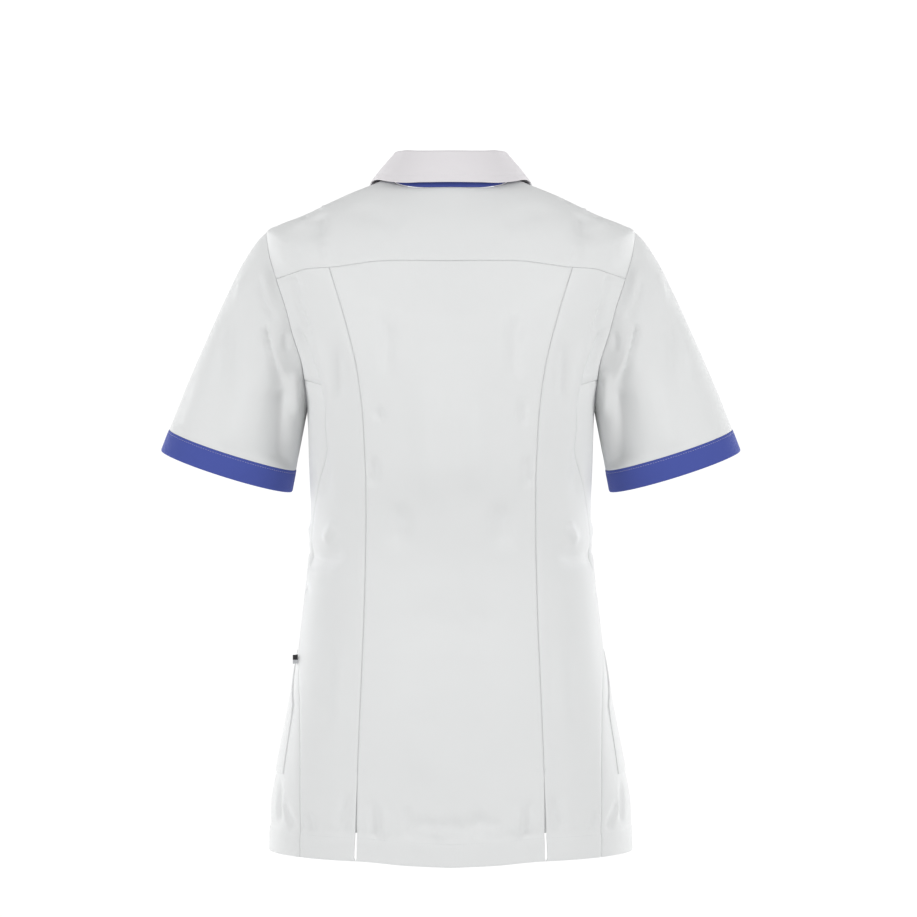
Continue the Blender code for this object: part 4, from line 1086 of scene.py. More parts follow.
def pocket_outline():
    """The left hip pocket's outline, its corners joined by evenly spaced points."""
    corners = np.array(POCKET_CORNERS, float)
    scale = np.array([ANGLE_TO_LENGTH, 1.0])
    rows = []
    for start, end in zip(corners, np.roll(corners, -1, 0)):
        count = max(1, round(np.linalg.norm((end - start) * scale) / TILE))
        rows += [start + (end - start) * n / count for n in range(count)]
    rows = np.array(rows)
    seam = read_table(SIDE_SEAM_COLUMNS, SIDE_SEAM, "level", "angle", rows[:, 1])
    rows[:, 0] = np.maximum(rows[:, 0], seam + POCKET_SIDE_INSET_DEG)
    return seam_run(rows, 0.0, sewn=0.0)


def pocket_cloth(side, settings, material):
    """A patch pocket on the front: sewn down at its sides and foot, its slanted mouth standing a little open."""
    outline = pocket_outline()
    loops = [outline[:, :2], drawn_in(outline, 0.0010), drawn_in(outline, 0.0028)]
    places, _, faces = tiled(loops)
    angle, level = places.T
    mirrored = np.array([side, 1, 1])
    points, normals, height = body_relief(angle * side, level, settings)
    points, normals = points * mirrored, normals * mirrored
    edge = distance_to(body(*outline[:, :2].T), points)
    mouth = body(*np.linspace(POCKET_CORNERS[4], POCKET_CORNERS[0], 30).T)
    slant = body(*np.linspace(POCKET_CORNERS[3], POCKET_CORNERS[4], 20).T)
    opened = np.minimum(distance_to(mouth, points), distance_to(slant, points))
    height += 0.0010 - 0.0005 * np.exp(-((edge / 0.0010) ** 2)) + 0.0006 * np.exp(-((opened / 0.012) ** 2))
    from_mouth, from_edge = np.abs(opened - settings.mouth_stitch), np.abs(edge - settings.edge_stitch * 0.4)
    furrow = np.where(opened < 0.006, from_mouth, from_edge)
    height -= settings.stitch_sink * 0.8 * np.exp(-((furrow / 0.0009) ** 2))
    outer = points + (height + 0.0003)[:, None] * normals
    inner = points - 0.0002 * normals
    made = wall_faces(places, [face for face, _ in faces], len(places))
    if side < 0:
        made = [tuple(reversed(face)) for face in made]
    spread = np.concatenate([places * np.array([ANGLE_TO_LENGTH, 1.0])] * 2)
    name = "pocket_cloth_left" if side > 0 else "pocket_cloth_right"
    return cloth_object(name, np.concatenate([outer, inner]) * mirrored, made, spread, material)


def button_place(number):
    """The middle of a button's back, and the directions out of the band, across and up."""
    z = FIRST_BUTTON_Z - number * BUTTON_PITCH
    level = LEVEL_AT_ZERO_Z - z
    if level < UNDERARM_LEVEL:
        levels = np.linspace(0, UNDERARM_LEVEL, 200)
        level = float(np.interp(-z, -body(180.0, levels)[:, 2], levels))
    out = body_normal(180.0, level)
    side = np.array([1.0, 0.0, 0.0])
    base = body(180.0, level) + out * (BAND_PROUD + 2 * HALF_SEAM + 0.0003)
    return base, out, side, np.cross(out, side)


# A button's section from its rim's foot to the edge of its face, as shares of its radius and height
BUTTON_SECTION = (
    (0.80, 0.00), (0.93, 0.10), (1.00, 0.38), (0.99, 0.66), (0.94, 0.88), (0.86, 1.00), (0.78, 0.97), (0.70, 0.80),
    (0.62, 0.70),
)
BUTTON_SIDES = 48
HOLE_RADIUS = 0.00095
HOLE_SPACING = 0.0014
HOLE_SIDES = 12


def button_mesh(number, material):
    """A polished button with a raised rim and four holes through its dished face."""
    base, out, side, up = button_place(number)
    turns = np.linspace(0, 2 * math.pi, BUTTON_SIDES, endpoint=False)
    circle = np.stack([np.cos(turns), np.sin(turns)], -1)
    points, faces = [], []
    for radius, height in BUTTON_SECTION:
        for x, y in circle:
            points.append((x * radius * BUTTON_RADIUS, y * radius * BUTTON_RADIUS, height * BUTTON_HEIGHT))
    for ring in range(len(BUTTON_SECTION) - 1):
        for n in range(BUTTON_SIDES):
            a, b = ring * BUTTON_SIDES + n, ring * BUTTON_SIDES + (n + 1) % BUTTON_SIDES
            faces.append((a, b, b + BUTTON_SIDES, a + BUTTON_SIDES))
    face_ring = circle * BUTTON_SECTION[-1][0] * BUTTON_RADIUS
    foot_ring = circle * BUTTON_SECTION[0][0] * BUTTON_RADIUS
    hole_turns = np.linspace(0, 2 * math.pi, HOLE_SIDES, endpoint=False)
    holes = []
    for x, y in ((1, 1), (-1, 1), (-1, -1), (1, -1)):
        middle = np.array([x, y]) * HOLE_SPACING
        holes.append(middle + HOLE_RADIUS * np.stack([np.cos(hole_turns), np.sin(hole_turns)], -1))
    face_height, foot_height = BUTTON_SECTION[-1][1] * BUTTON_HEIGHT, 0.0
    for ring, height, turned in ((face_ring, face_height, False), (foot_ring, foot_height, True)):
        flat_points = np.concatenate([ring, *holes])
        loops, start = [], 0
        for loop in (ring, *holes):
            loops.append(list(range(start, start + len(loop))))
            start += len(loop)
        found = delaunay_2d_cdt([tuple(p) for p in flat_points], [], loops, 1, 1e-9, True)
        first = len(points)
        points += [(p[0], p[1], height) for p in found[0]]
        for face, held in zip(found[2], found[5]):
            if set(held) == {0}:
                face = [first + n for n in face]
                faces.append(tuple(reversed(face)) if turned else tuple(face))
    for hole in holes:
        first = len(points)
        points += [(x, y, face_height) for x, y in hole] + [(x, y, foot_height) for x, y in hole]
        for n in range(HOLE_SIDES):
            a, b = first + n, first + (n + 1) % HOLE_SIDES
            faces.append((b, a, a + HOLE_SIDES, b + HOLE_SIDES))
    axes = np.stack([side, up, out])
    placed = base + np.array(points) @ axes
    mesh = bpy.data.meshes.new(f"button_shell_{number + 1}")
    mesh.from_pydata([tuple(p) for p in placed], [], faces)
    form = bmesh.new()
    form.from_mesh(mesh)
    bmesh.ops.remove_doubles(form, verts=form.verts, dist=1e-6)
    bmesh.ops.recalc_face_normals(form, faces=form.faces)
    form.to_mesh(mesh)
    form.free()
    mesh.materials.append(material)
    mesh.shade_smooth()
    mesh.set_sharp_from_angle(angle=math.radians(40))
    return linked(f"button_shell_{number + 1}", mesh)


def tab_mesh(material):
    """A folded tape that stands out of the left side seam, rounded at its fold."""
    level = LEVEL_AT_ZERO_Z - TAB_Z
    angle = float(read_table(SIDE_SEAM_COLUMNS, SIDE_SEAM, "level", "angle", level))
    seam = body(angle, level) + 0.0010 * body_normal(angle, level)
    half = TAB_THICKNESS / 2
    outline = [(0.0, half), (TAB_REACH - half, half)]
    turns = np.linspace(0.3, math.pi - 0.3, 7)
    outline += [(TAB_REACH - half + half * math.sin(t), half * math.cos(t)) for t in turns]
    outline += [(TAB_REACH - half, -half), (0.0, -half)]
    rows = []
    for z in np.linspace(-TAB_HEIGHT / 2, TAB_HEIGHT / 2, 9):
        sag = -0.0006 * (np.array([x for x, _ in outline]) / TAB_REACH) ** 2
        rows.append([(seam[0] + x, seam[1] + y, seam[2] + z + s) for (x, y), s in zip(outline, sag)])
    form = bmesh.new()
    rings = [[form.verts.new(p) for p in row] for row in rows]
    count = len(outline)
    for lower, upper in zip(rings, rings[1:]):
        for n in range(count):
            form.faces.new((lower[n], lower[(n + 1) % count], upper[(n + 1) % count], upper[n]))
    form.faces.new(rings[0])
    form.faces.new(rings[-1])
    bmesh.ops.recalc_face_normals(form, faces=form.faces)
    mesh = bpy.data.meshes.new("side_tab_tape")
    form.to_mesh(mesh)
    form.free()
    mesh.materials.append(material)
    mesh.shade_smooth()
    mesh.set_sharp_from_angle(angle=math.radians(40))
    return linked("side_tab_tape", mesh)


# ---------------------------------------------------------------- stitches


def stitch_tree():
    """Geometry Nodes that lay a row of rounded stitches along each line of a mesh."""
    tree = bpy.data.node_groups.new("Row of stitches", "GeometryNodeTree")
    sockets = tree.interface
    sockets.new_socket("Geometry", in_out="INPUT", socket_type="NodeSocketGeometry")
    for name, size in (("Pitch", 0.0028), ("Length", 0.0021), ("Width", 0.0004), ("Height", 0.0003)):
        made = sockets.new_socket(name, in_out="INPUT", socket_type="NodeSocketFloat")
        made.subtype, made.default_value, made.min_value = "DISTANCE", size, 0.0
    sockets.new_socket("Thread", in_out="INPUT", socket_type="NodeSocketMaterial")
    sockets.new_socket("Geometry", in_out="OUTPUT", socket_type="NodeSocketGeometry")
    node = {}
    for key, kind in (
        ("in", "NodeGroupInput"), ("out", "NodeGroupOutput"), ("curve", "GeometryNodeMeshToCurve"),
        ("spaced", "GeometryNodeResampleCurve"), ("ball", "GeometryNodeMeshUVSphere"),
        ("ahead", "GeometryNodeInputTangent"), ("turn", "FunctionNodeAlignRotationToVector"),
        ("size", "ShaderNodeCombineXYZ"), ("half", "ShaderNodeVectorMath"),
        ("rows", "GeometryNodeInstanceOnPoints"),
        ("real", "GeometryNodeRealizeInstances"), ("soft", "GeometryNodeSetShadeSmooth"),
        ("thread", "GeometryNodeSetMaterial"),
    ):
        node[key] = tree.nodes.new(kind)
        node[key].location = (180 * len(node), 0)
    node["spaced"].mode = "LENGTH"
    node["ball"].inputs["Segments"].default_value = 6
    node["ball"].inputs["Rings"].default_value = 4
    node["turn"].axis = "X"
    node["half"].operation = "SCALE"
    node["half"].inputs["Scale"].default_value = 0.5
    link = tree.links.new
    link(node["in"].outputs["Geometry"], node["curve"].inputs["Mesh"])
    link(node["curve"].outputs["Curve"], node["spaced"].inputs["Curve"])
    link(node["in"].outputs["Pitch"], node["spaced"].inputs["Length"])
    link(node["spaced"].outputs["Curve"], node["rows"].inputs["Points"])
    link(node["ball"].outputs["Mesh"], node["rows"].inputs["Instance"])
    link(node["ahead"].outputs["Tangent"], node["turn"].inputs["Vector"])
    link(node["turn"].outputs["Rotation"], node["rows"].inputs["Rotation"])
    for axis, name in (("X", "Length"), ("Y", "Width"), ("Z", "Height")):
        link(node["in"].outputs[name], node["size"].inputs[axis])
    link(node["size"].outputs["Vector"], node["half"].inputs[0])
    link(node["half"].outputs["Vector"], node["rows"].inputs["Scale"])
    link(node["rows"].outputs["Instances"], node["real"].inputs["Geometry"])
    link(node["real"].outputs["Geometry"], node["soft"].inputs["Geometry"])
    link(node["soft"].outputs["Geometry"], node["thread"].inputs["Geometry"])
    link(node["in"].outputs["Thread"], node["thread"].inputs["Material"])
    link(node["thread"].outputs["Geometry"], node["out"].inputs["Geometry"])
    return tree


def stitched(name, lines, settings, material, pitch=None, width=None):
    """Rows of stitches along the lines, as a plain mesh."""
    points, edges = [], []
    for line in lines:
        first = len(points)
        points += [tuple(p) for p in line]
        edges += [(first + n, first + n + 1) for n in range(len(line) - 1)]
    mesh = bpy.data.meshes.new(f"{name}_line")
    mesh.from_pydata(points, edges, [])
    guide = linked(f"{name}_line", mesh)
    tree = bpy.data.node_groups.get("Row of stitches") or stitch_tree()
    modifier = guide.modifiers.new("Stitches", "NODES")
    modifier.node_group = tree
    wanted = {
        "Pitch": pitch or settings.stitch_pitch,
        "Length": (pitch or settings.stitch_pitch) * 0.78,
        "Width": width or settings.stitch_width,
        "Height": (width or settings.stitch_width) * 0.8,
        "Thread": material,
    }
    for socket in tree.interface.items_tree:
        if socket.item_type == "SOCKET" and socket.in_out == "INPUT" and socket.name in wanted:
            modifier[socket.identifier] = wanted[socket.name]
    bpy.context.view_layer.update()
    evaluated = guide.evaluated_get(bpy.context.evaluated_depsgraph_get())
    rows = bpy.data.meshes.new_from_object(evaluated)
    rows.name = name
    made = linked(name, rows)
    bpy.data.objects.remove(guide)
    return made


def body_line(angle, level, settings, side=1, lift=0.0):
    """A line on the worn cloth of the body, at angles and levels."""
    points, normals, height = body_relief(np.asarray(angle, float) * side, np.asarray(level, float), settings)
    return points + (height + lift)[:, None] * normals


# ---------------------------------------------------------------- finishes


def new_material(name):
    made = bpy.data.materials.new(name)
    made.use_nodes = True
    return made, made.node_tree, made.node_tree.nodes["Principled BSDF"]


def colour_variation(tree, colour, amount, scale):
    """The colour, a little lighter and darker in soft patches."""
    coordinates = tree.nodes.new("ShaderNodeTexCoord")
    noise = tree.nodes.new("ShaderNodeTexNoise")
    noise.inputs["Scale"].default_value = scale
    noise.inputs["Detail"].default_value = 3.0
    mix = tree.nodes.new("ShaderNodeMix")
    mix.data_type = "RGBA"
    mix.inputs["A"].default_value = (*[c * (1 - amount) for c in colour[:3]], 1.0)
    mix.inputs["B"].default_value = (*[min(1.0, c * (1 + amount)) for c in colour[:3]], 1.0)
    tree.links.new(coordinates.outputs["Object"], noise.inputs["Vector"])
    tree.links.new(noise.outputs["Fac"], mix.inputs["Factor"])
    return coordinates, mix.outputs["Result"]


def woven(name, colour, settings, rough=0.82):
    """Plain-woven cloth: crossing threads laid on the flat cloth, over the soft unevenness of pressing."""
    made, tree, shader = new_material(name)
    coordinates, tint = colour_variation(tree, colour, 0.018, 14.0)
    tree.links.new(tint, shader.inputs["Base Color"])
    shader.inputs["Roughness"].default_value = rough
    shader.inputs["Specular IOR Level"].default_value = 0.25
    shader.inputs["Sheen Weight"].default_value = 0.08
    shader.inputs["Sheen Roughness"].default_value = 0.5
    soft = tree.nodes.new("ShaderNodeTexNoise")
    soft.inputs["Scale"].default_value = 26.0
    soft.inputs["Detail"].default_value = 2.5
    soft_bump = tree.nodes.new("ShaderNodeBump")
    soft_bump.inputs["Strength"].default_value = 0.35
    soft_bump.inputs["Distance"].default_value = settings.softness
    tree.links.new(coordinates.outputs["Object"], soft.inputs["Vector"])
    tree.links.new(soft.outputs["Fac"], soft_bump.inputs["Height"])
    spread = tree.nodes.new("ShaderNodeUVMap")
    spread.uv_map = "flat_cloth"
    split = tree.nodes.new("ShaderNodeSeparateXYZ")
    tree.links.new(spread.outputs["UV"], split.inputs["Vector"])
    waves = []
    for axis in ("X", "Y"):
        turn = tree.nodes.new("ShaderNodeMath")
        turn.operation = "MULTIPLY"
        turn.inputs[1].default_value = 2 * math.pi / (2 * settings.thread_pitch)
        wave = tree.nodes.new("ShaderNodeMath")
        wave.operation = "SINE"
        tree.links.new(split.outputs[axis], turn.inputs[0])
        tree.links.new(turn.outputs["Value"], wave.inputs[0])
        waves.append(wave)
    crossing = tree.nodes.new("ShaderNodeMath")
    crossing.operation = "MULTIPLY"
    tree.links.new(waves[0].outputs["Value"], crossing.inputs[0])
    tree.links.new(waves[1].outputs["Value"], crossing.inputs[1])
    weave = tree.nodes.new("ShaderNodeBump")
    weave.inputs["Strength"].default_value = 0.5
    weave.inputs["Distance"].default_value = settings.thread_pitch * 0.25
    tree.links.new(crossing.outputs["Value"], weave.inputs["Height"])
    tree.links.new(soft_bump.outputs["Normal"], weave.inputs["Normal"])
    tree.links.new(weave.outputs["Normal"], shader.inputs["Normal"])
    return made


def thread(name, colour):
    """Glossy sewing thread with a fine twist."""
    made, tree, shader = new_material(name)
    coordinates, tint = colour_variation(tree, colour, 0.06, 900.0)
    tree.links.new(tint, shader.inputs["Base Color"])
    shader.inputs["Roughness"].default_value = 0.5
    twist = tree.nodes.new("ShaderNodeTexWave")
    twist.bands_direction = "DIAGONAL"
    twist.inputs["Scale"].default_value = 1400.0
    bump = tree.nodes.new("ShaderNodeBump")
    bump.inputs["Strength"].default_value = 0.3
    bump.inputs["Distance"].default_value = 0.00005
    tree.links.new(coordinates.outputs["Object"], twist.inputs["Vector"])
    tree.links.new(twist.outputs["Fac"], bump.inputs["Height"])
    tree.links.new(bump.outputs["Normal"], shader.inputs["Normal"])
    return made


def pearly(name, colour):
    """Polished polyester with a faint cloudiness under a clear surface."""
    made, tree, shader = new_material(name)
    coordinates, tint = colour_variation(tree, colour, 0.05, 130.0)
    tree.links.new(tint, shader.inputs["Base Color"])
    shader.inputs["Roughness"].default_value = 0.22
    shader.inputs["Coat Weight"].default_value = 0.4
    shader.inputs["Coat Roughness"].default_value = 0.1
    clouds = tree.nodes.new("ShaderNodeTexNoise")
    clouds.inputs["Scale"].default_value = 260.0
    bump = tree.nodes.new("ShaderNodeBump")
    bump.inputs["Strength"].default_value = 0.15
    bump.inputs["Distance"].default_value = 0.0001
    tree.links.new(coordinates.outputs["Object"], clouds.inputs["Vector"])
    tree.links.new(clouds.outputs["Fac"], bump.inputs["Height"])
    tree.links.new(bump.outputs["Normal"], shader.inputs["Normal"])
    return made


def tape(name, upper, lower):
    """Woven tape, dark above and pale below, with ribs across it."""
    made, tree, shader = new_material(name)
    coordinates = tree.nodes.new("ShaderNodeTexCoord")
    split = tree.nodes.new("ShaderNodeSeparateXYZ")
    side = tree.nodes.new("ShaderNodeMath")
    side.operation = "GREATER_THAN"
    side.inputs[1].default_value = TAB_Z - 0.0008
    mix = tree.nodes.new("ShaderNodeMix")
    mix.data_type = "RGBA"
    mix.inputs["A"].default_value = lower
    mix.inputs["B"].default_value = upper
    ribs = tree.nodes.new("ShaderNodeTexWave")
    ribs.bands_direction = "Z"
    ribs.inputs["Scale"].default_value = 600.0
    bump = tree.nodes.new("ShaderNodeBump")
    bump.inputs["Strength"].default_value = 0.4
    bump.inputs["Distance"].default_value = 0.00008
    tree.links.new(coordinates.outputs["Object"], split.inputs["Vector"])
    tree.links.new(split.outputs["Z"], side.inputs[0])
    tree.links.new(side.outputs["Value"], mix.inputs["Factor"])
    tree.links.new(mix.outputs["Result"], shader.inputs["Base Color"])
    tree.links.new(coordinates.outputs["Object"], ribs.inputs["Vector"])
    tree.links.new(ribs.outputs["Fac"], bump.inputs["Height"])
    tree.links.new(bump.outputs["Normal"], shader.inputs["Normal"])
    shader.inputs["Roughness"].default_value = 0.7
    return made


def finish_named(name, context):
    """The finish of that name, made when it is first asked for."""
    cloth, sewing = context.scene.tunic_cloth, context.scene.tunic_sewing
    if name in bpy.data.materials:
        return bpy.data.materials[name]
    if name == "white twill":
        return woven(name, cloth.white, cloth)
    if name == "collar twill":
        return woven(name, cloth.collar, cloth)
    if name == "blue twill":
        return woven(name, cloth.blue, cloth)
    if name == "white thread":
        return thread(name, sewing.white_thread)
    if name == "pale thread":
        return thread(name, sewing.pale_thread)
    if name == "pearl button":
        return pearly(name, cloth.button)
    return tape(name, cloth.tape_upper, cloth.tape_lower)


# ---------------------------------------------------------------- what a user may change


def size_property(name, description, default):
    return bpy.props.FloatProperty(
        name=name,
        description=description,
        default=default,
        min=0.0,
        subtype="DISTANCE",
        unit="LENGTH",
        precision=5,
    )


def colour_property(name, description, default):
    return bpy.props.FloatVectorProperty(
        name=name, description=description, default=default, size=4, min=0.0, max=1.0, subtype="COLOR"
    )


def power_property(name, description, default):
    return bpy.props.FloatProperty(
        name=name, description=description, default=default, min=0.0, subtype="POWER", unit="POWER"
    )


class TunicCloth(bpy.types.PropertyGroup):
    """Sizes and colours of the cloth."""

    cloth: size_property("Cloth", "Thickness of a cloth shell", 0.0009)
    seam_dip: size_property("Seam dip", "How far cloth is pressed down at a seam", 0.0002)
    seam_width: size_property("Seam width", "Half width of the pressed groove at a seam", 0.0010)
    allowance_lift: size_property(
        "Allowance lift", "How far the seam allowance lifts the cloth beside a seam", 0.00022
    )
    hem_depth: size_property("Hem", "Depth of the turned-up hem", 0.0255)
    fold_step: size_property("Fold step", "How far a turned-up layer stands out", 0.0006)
    hem_pull: size_property("Hem pull", "How far the cloth is drawn in just above the hem", 0.0016)
    centre_proud: size_property(
        "Centre proud", "How far the back centre's edge stands out at its seams", 0.0005
    )
    stitch_sink: size_property("Stitch sink", "How far a row of stitches pulls the cloth in", 0.0003)
    cuff_stitch: size_property(
        "Cuff stitching", "Distance of the stitches from the cuff's upper edge", 0.0026
    )
    collar_stitch: size_property(
        "Collar stitching", "Distance of the stitches from the collar's outer edge", 0.0075
    )
    edge_stitch: size_property(
        "Edge stitching", "Distance of the stitches from the front band's edge", 0.0050
    )
    mouth_stitch: size_property("Mouth stitching", "Distance of the stitches from the pocket's mouth", 0.0180)
    thread_pitch: size_property("Thread pitch", "Distance between the threads of the weave", 0.00042)
    softness: size_property("Softness", "Height of the soft unevenness of pressed cloth", 0.0010)
    crease_strength: bpy.props.FloatProperty(
        name="Crease strength",
        description="Height of the creases, as a share of their own",
        default=1.0,
        min=0.0,
        max=2.0,
    )
    white: colour_property("White cloth", "Colour of the main cloth", (0.80, 0.81, 0.81, 1.0))
    collar: colour_property(
        "Collar cloth", "Colour of the white collar, a little warmer than the rest", (0.785, 0.762, 0.782, 1.0)
    )
    blue: colour_property("Blue cloth", "Colour of the cuff bands and the stand", (0.066, 0.094, 0.375, 1.0))
    button: colour_property("Button", "Colour of the buttons", (0.86, 0.86, 0.84, 1.0))
    tape_upper: colour_property("Tab, upper", "Colour of the tab's upper half", (0.02, 0.02, 0.022, 1.0))
    tape_lower: colour_property("Tab, lower", "Colour of the tab's lower half", (0.55, 0.56, 0.58, 1.0))


class TunicSewing(bpy.types.PropertyGroup):
    """Sizes and colours of the stitches."""

    stitch_pitch: size_property("Pitch", "Distance from stitch to stitch", 0.0028)
    stitch_width: size_property("Thickness", "Thickness of a stitch", 0.00042)
    white_thread: colour_property(
        "White thread", "Colour of the stitches on white cloth", (0.72, 0.73, 0.74, 1.0)
    )
    pale_thread: colour_property(
        "Pale thread", "Colour of the stitches on blue cloth", (0.50, 0.48, 0.66, 1.0)
    )


class TunicStage(bpy.types.PropertyGroup):
    """Floor, light and surroundings."""

    floor_drop: size_property("Floor", "Distance from the neck down to the floor", 1.42)
    side_light: power_property("Side lights", "Power of each side light", 34.0)
    front_light: power_property("Far lights", "Power of each light on the far side", 37.0)
    fill: bpy.props.FloatProperty(
        name="Fill", description="Strength of the light from all round", default=0.44, min=0.0
    )
    floor: colour_property("Floor colour", "Colour of the floor", (0.80, 0.80, 0.80, 1.0))


# ---------------------------------------------------------------- operators


class TUNIC_OT_body_panels(bpy.types.Operator):
    """Back yoke, back centre, back sides and fronts as sewn cloth"""

    bl_idname = "tunic.body_panels"
    bl_label = "Body panels"

    def execute(self, context):
        settings = context.scene.tunic_cloth
        white = finish_named("white twill", context)
        outlines = panel_outlines()
        for name, part, side, width, length in (
            ("back_yoke", "back_yoke", 1, 0.50, 0.15),
            ("back_centre", "back_centre", 1, 0.277, 0.633),
            ("back_side_left", "back_side", 1, 0.107, 0.621),
            ("back_side_right", "back_side", -1, 0.107, 0.621),
            ("front_left", "front", 1, 0.344, 0.810),
            ("front_right", "front", -1, 0.344, 0.810),
        ):
            made = body_cloth(f"{name}_cloth", outlines[part], side, settings, white)
            finished(made, [name])
        return {"FINISHED"}


class TUNIC_OT_sleeves(bpy.types.Operator):
    """Both short sleeves as sewn cloth"""

    bl_idname = "tunic.sleeves"
    bl_label = "Sleeves"

    def execute(self, context):
        settings = context.scene.tunic_cloth
        white = finish_named("white twill", context)
        for side, word in ((1, "left"), (-1, "right")):
            made = sleeve_cloth(side, settings, white)
            finished(made, [f"sleeve_{word}"])
        return {"FINISHED"}


class TUNIC_OT_cuffs(bpy.types.Operator):
    """The blue bands at the sleeves' lower edges"""

    bl_idname = "tunic.cuffs"
    bl_label = "Cuff bands"

    def execute(self, context):
        settings = context.scene.tunic_cloth
        blue = finish_named("blue twill", context)
        for side, word in ((1, "left"), (-1, "right")):
            made = cuff_cloth(side, settings, blue)
            finished(made, [f"cuff_band_{word}"])
        return {"FINISHED"}


class TUNIC_OT_collar(bpy.types.Operator):
    """The folded white collar and the blue stand under it"""

    bl_idname = "tunic.collar"
    bl_label = "Collar"

    def execute(self, context):
        settings = context.scene.tunic_cloth
        collar = collar_cloth(settings, finish_named("collar twill", context))
        finished(collar, ["top_collar"])
        stand = stand_cloth(settings, finish_named("blue twill", context))
        finished(stand, ["collar_stand"])
        return {"FINISHED"}


class TUNIC_OT_front(bpy.types.Operator):
    """The front band, its buttons, and the hip pockets"""

    bl_idname = "tunic.front"
    bl_label = "Front band, buttons and pockets"

    def execute(self, context):
        settings = context.scene.tunic_cloth
        white = finish_named("white twill", context)
        band = band_cloth(settings, white)
        finished(band, ["front_band"])
        for side, word in ((1, "left"), (-1, "right")):
            made = pocket_cloth(side, settings, white)
            finished(made, [f"hip_pocket_{word}"])
        pearl = finish_named("pearl button", context)
        for number in range(BUTTON_COUNT):
            finished(button_mesh(number, pearl), [f"button_{number + 1}"])
        return {"FINISHED"}


class TUNIC_OT_side_tab(bpy.types.Operator):
    """The folded tape in the left side seam"""

    bl_idname = "tunic.side_tab"
    bl_label = "Side tab"

    def execute(self, context):
        finished(tab_mesh(finish_named("two-tone tape", context)), ["side_tab"])
        return {"FINISHED"}


class TUNIC_OT_stitches(bpy.types.Operator):
    """Rows of stitches along the hems, the cuffs, the collar and the front band"""

    bl_idname = "tunic.stitches"
    bl_label = "Stitches"

    def execute(self, context):
        cloth, sewing = context.scene.tunic_cloth, context.scene.tunic_sewing
        white, pale = finish_named("white thread", context), finish_named("pale thread", context)
        princess = princess_seam()[-1, 0]
        hem_lines = []
        for first, last in ((princess + 1.2, 171), (-171, -princess - 1.2), (-princess + 1.2, princess - 1.2)):
            angle = np.linspace(first, last, 160)
            hem_lines.append(body_line(angle, hem_level(angle) - cloth.hem_depth + 0.0015, cloth, lift=0.00005))
        made = {"hem_stitches": (hem_lines, white)}
        turns = -np.linspace(0, 360, 145)
        cuff = cuff_rows(turns, np.array([0.0, cloth.cuff_stitch / CUFF_BAND, 1.0]))[1]
        cuff_out = grid_normals(cuff_rows(turns, np.array([0.0, 0.2, 0.4])), False)[1]
        cuff = cuff - 0.00018 * cuff_out
        made["cuff_stitches"] = ([cuff, cuff * np.array([-1, 1, 1])], pale)
        seam = back_seam(PRINCESS_SEAM_COLUMNS, PRINCESS_SEAM, 150)
        tacks = []
        for level, above in ((VENT_TOP_LEVEL, 0.0), (VENT_TOP_LEVEL, 0.0022), (WAIST_TACK_LEVEL, 0.0)):
            middle = np.interp(level, seam[:, 1], seam[:, 0])
            across = np.linspace(middle - 2.6, middle + 0.3, 8)
            tacks += [body_line(across, np.full(8, level - above), cloth, side, 0.0003) for side in (1, -1)]
        made["bar_tacks"] = (tacks, white)
        angles = np.linspace(-168, 168, 240)
        _, _, fold, edge, _, out = collar_rows(angles, cloth)
        fall_top = fold + FOLD_RADIUS * out
        share = 1 - cloth.collar_stitch / np.linalg.norm(edge - fall_top, axis=1, keepdims=True)
        swell = COLLAR_BULGE * np.sin(math.pi * share) - cloth.stitch_sink + COLLAR_WALL / 2
        made["collar_stitches"] = ([fall_top * (1 - share) + edge * share + swell * out], white)
        stand = stand_rows(angles, np.array([0.60, 0.66, 0.72]))
        stand = stand + (COLLAR_WALL / 2 + 0.00005) * grid_normals(stand, False)
        made["stand_stitches"] = ([stand[1]], pale)
        share = 1 - cloth.edge_stitch / BAND_HALF_WIDTH
        columns = band_rows(np.array([-share, 0.0, share]))
        out = grid_normals(columns, False)
        band = columns - (cloth.stitch_sink - 0.00008) * out
        made["band_stitches"] = ([band[:, 0], band[:, 2]], white)
        for name, (lines, colour) in made.items():
            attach(stitched(name, lines, sewing, colour), "root")
        return {"FINISHED"}


def soft_light(name, place, target, size, power):
    """A rectangular studio light that faces its target."""
    lamp = bpy.data.lights.new(name, "AREA")
    lamp.shape, lamp.size, lamp.size_y, lamp.energy = "RECTANGLE", size[0], size[1], power
    made = bpy.data.objects.new(name, lamp)
    made.location = place
    made.rotation_euler = (Vector(target) - Vector(place)).to_track_quat("-Z", "Y").to_euler()
    bpy.context.scene.collection.objects.link(made)
    return made


def surroundings(settings):
    """White all round for the eye, and a softer, even light from it on the cloth."""
    world = bpy.data.worlds.new("studio")
    world.use_nodes = True
    tree = world.node_tree
    fill = tree.nodes["Background"]
    fill.inputs["Color"].default_value = (1.0, 1.0, 1.0, 1.0)
    fill.inputs["Strength"].default_value = settings.fill
    seen = tree.nodes.new("ShaderNodeBackground")
    seen.inputs["Color"].default_value = (1.0, 1.0, 1.0, 1.0)
    seen.inputs["Strength"].default_value = 1.05
    path = tree.nodes.new("ShaderNodeLightPath")
    mix = tree.nodes.new("ShaderNodeMixShader")
    tree.links.new(path.outputs["Is Camera Ray"], mix.inputs["Fac"])
    tree.links.new(fill.outputs["Background"], mix.inputs[1])
    tree.links.new(seen.outputs["Background"], mix.inputs[2])
    tree.links.new(mix.outputs["Shader"], tree.nodes["World Output"].inputs["Surface"])
    bpy.context.scene.world = world


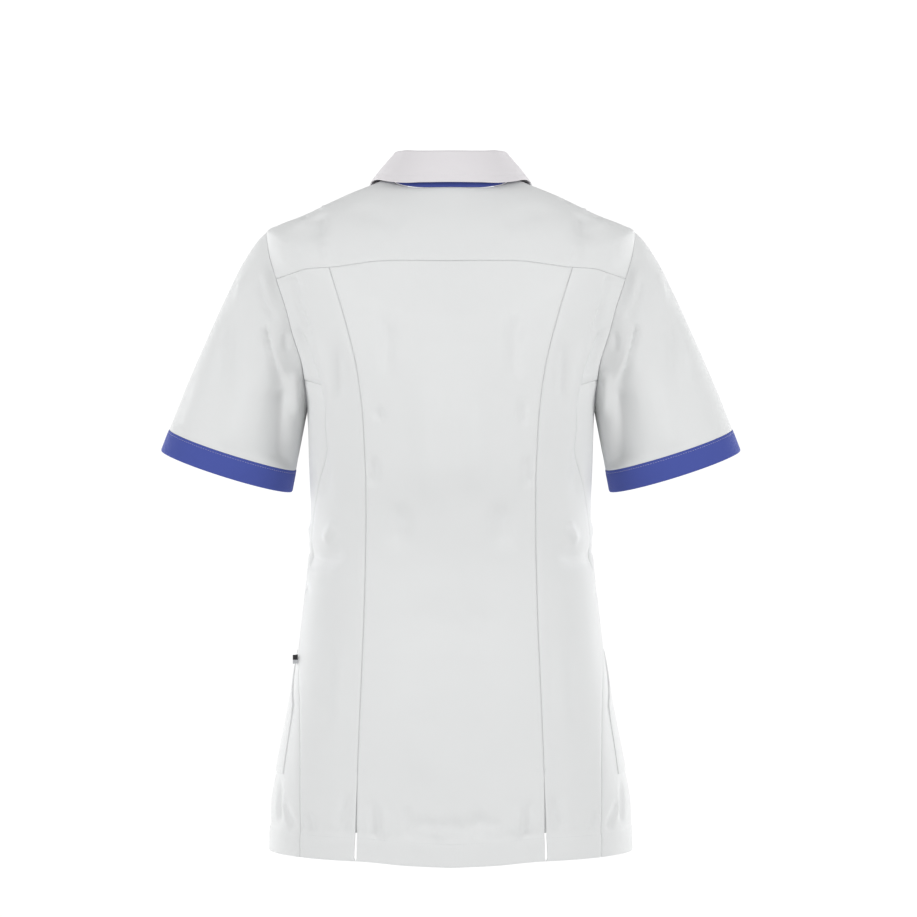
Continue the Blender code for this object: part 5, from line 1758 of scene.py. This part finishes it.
class TUNIC_OT_stage(bpy.types.Operator):
    """Pale floor, soft studio light and the camera behind the tunic"""

    bl_idname = "tunic.stage"
    bl_label = "Stage"

    def execute(self, context):
        settings = context.scene.tunic_stage
        z = -settings.floor_drop
        mesh = bpy.data.meshes.new("floor")
        corners = [(x * FLOOR_HALF, y * FLOOR_HALF, z) for x, y in ((-1, -1), (1, -1), (1, 1), (-1, 1))]
        mesh.from_pydata(corners, [], [(0, 1, 2, 3)])
        pale, _, shader = new_material("pale floor")
        shader.inputs["Base Color"].default_value = settings.floor
        shader.inputs["Roughness"].default_value = 0.9
        mesh.materials.append(pale)
        linked("floor", mesh)
        middle = (0.0, 0.0, -0.34)
        for side, word in ((1, "left"), (-1, "right")):
            for name, (x, y, height), power in (
                ("side", SIDE_LIGHT, settings.side_light),
                ("far", FAR_LIGHT, settings.front_light),
            ):
                soft_light(f"{name}_light_{word}", (side * x, y, height), middle, LIGHT_SIZE, power)
        surroundings(settings)
        context.scene.view_settings.view_transform = "Standard"
        lens = bpy.data.cameras.new("photo view")
        lens.sensor_width, lens.lens, lens.shift_x = 36.0, CAMERA_LENS, CAMERA_SHIFT
        camera = bpy.data.objects.new("photo view", lens)
        camera.location = (0.0, CAMERA_DISTANCE, CAMERA_HEIGHT)
        camera.rotation_euler = (math.pi / 2, 0.0, math.pi)
        context.scene.collection.objects.link(camera)
        context.scene.camera = camera
        return {"FINISHED"}


OPERATORS = (
    TUNIC_OT_stage,
    TUNIC_OT_body_panels,
    TUNIC_OT_sleeves,
    TUNIC_OT_cuffs,
    TUNIC_OT_collar,
    TUNIC_OT_front,
    TUNIC_OT_side_tab,
    TUNIC_OT_stitches,
)


class TUNIC_PT_looks(bpy.types.Panel):
    """Lists the tunic's pieces in the sidebar"""

    bl_idname = "TUNIC_PT_looks"
    bl_label = "Healthcare tunic"
    bl_space_type = "VIEW_3D"
    bl_region_type = "UI"
    bl_category = "Tunic"

    def draw(self, context):
        for group in (context.scene.tunic_cloth, context.scene.tunic_sewing, context.scene.tunic_stage):
            for name in group.bl_rna.properties.keys():
                if name not in ("rna_type", "name"):
                    self.layout.prop(group, name)
        for operator in OPERATORS:
            self.layout.operator(operator.bl_idname)


GROUPS = (("tunic_cloth", TunicCloth), ("tunic_sewing", TunicSewing), ("tunic_stage", TunicStage))


def register():
    for name, group in GROUPS:
        bpy.utils.register_class(group)
        setattr(bpy.types.Scene, name, bpy.props.PointerProperty(type=group))
    for operator in OPERATORS:
        bpy.utils.register_class(operator)
    bpy.utils.register_class(TUNIC_PT_looks)


def unregister():
    bpy.utils.unregister_class(TUNIC_PT_looks)
    for operator in reversed(OPERATORS):
        bpy.utils.unregister_class(operator)
    for name, group in reversed(GROUPS):
        delattr(bpy.types.Scene, name)
        bpy.utils.unregister_class(group)


def main():
    register()
    bpy.ops.tunic.stage()
    bpy.ops.tunic.body_panels()
    bpy.ops.tunic.sleeves()
    bpy.ops.tunic.cuffs()
    bpy.ops.tunic.collar()
    bpy.ops.tunic.front()
    bpy.ops.tunic.side_tab()
    bpy.ops.tunic.stitches()


if __name__ == "__main__":
    main()
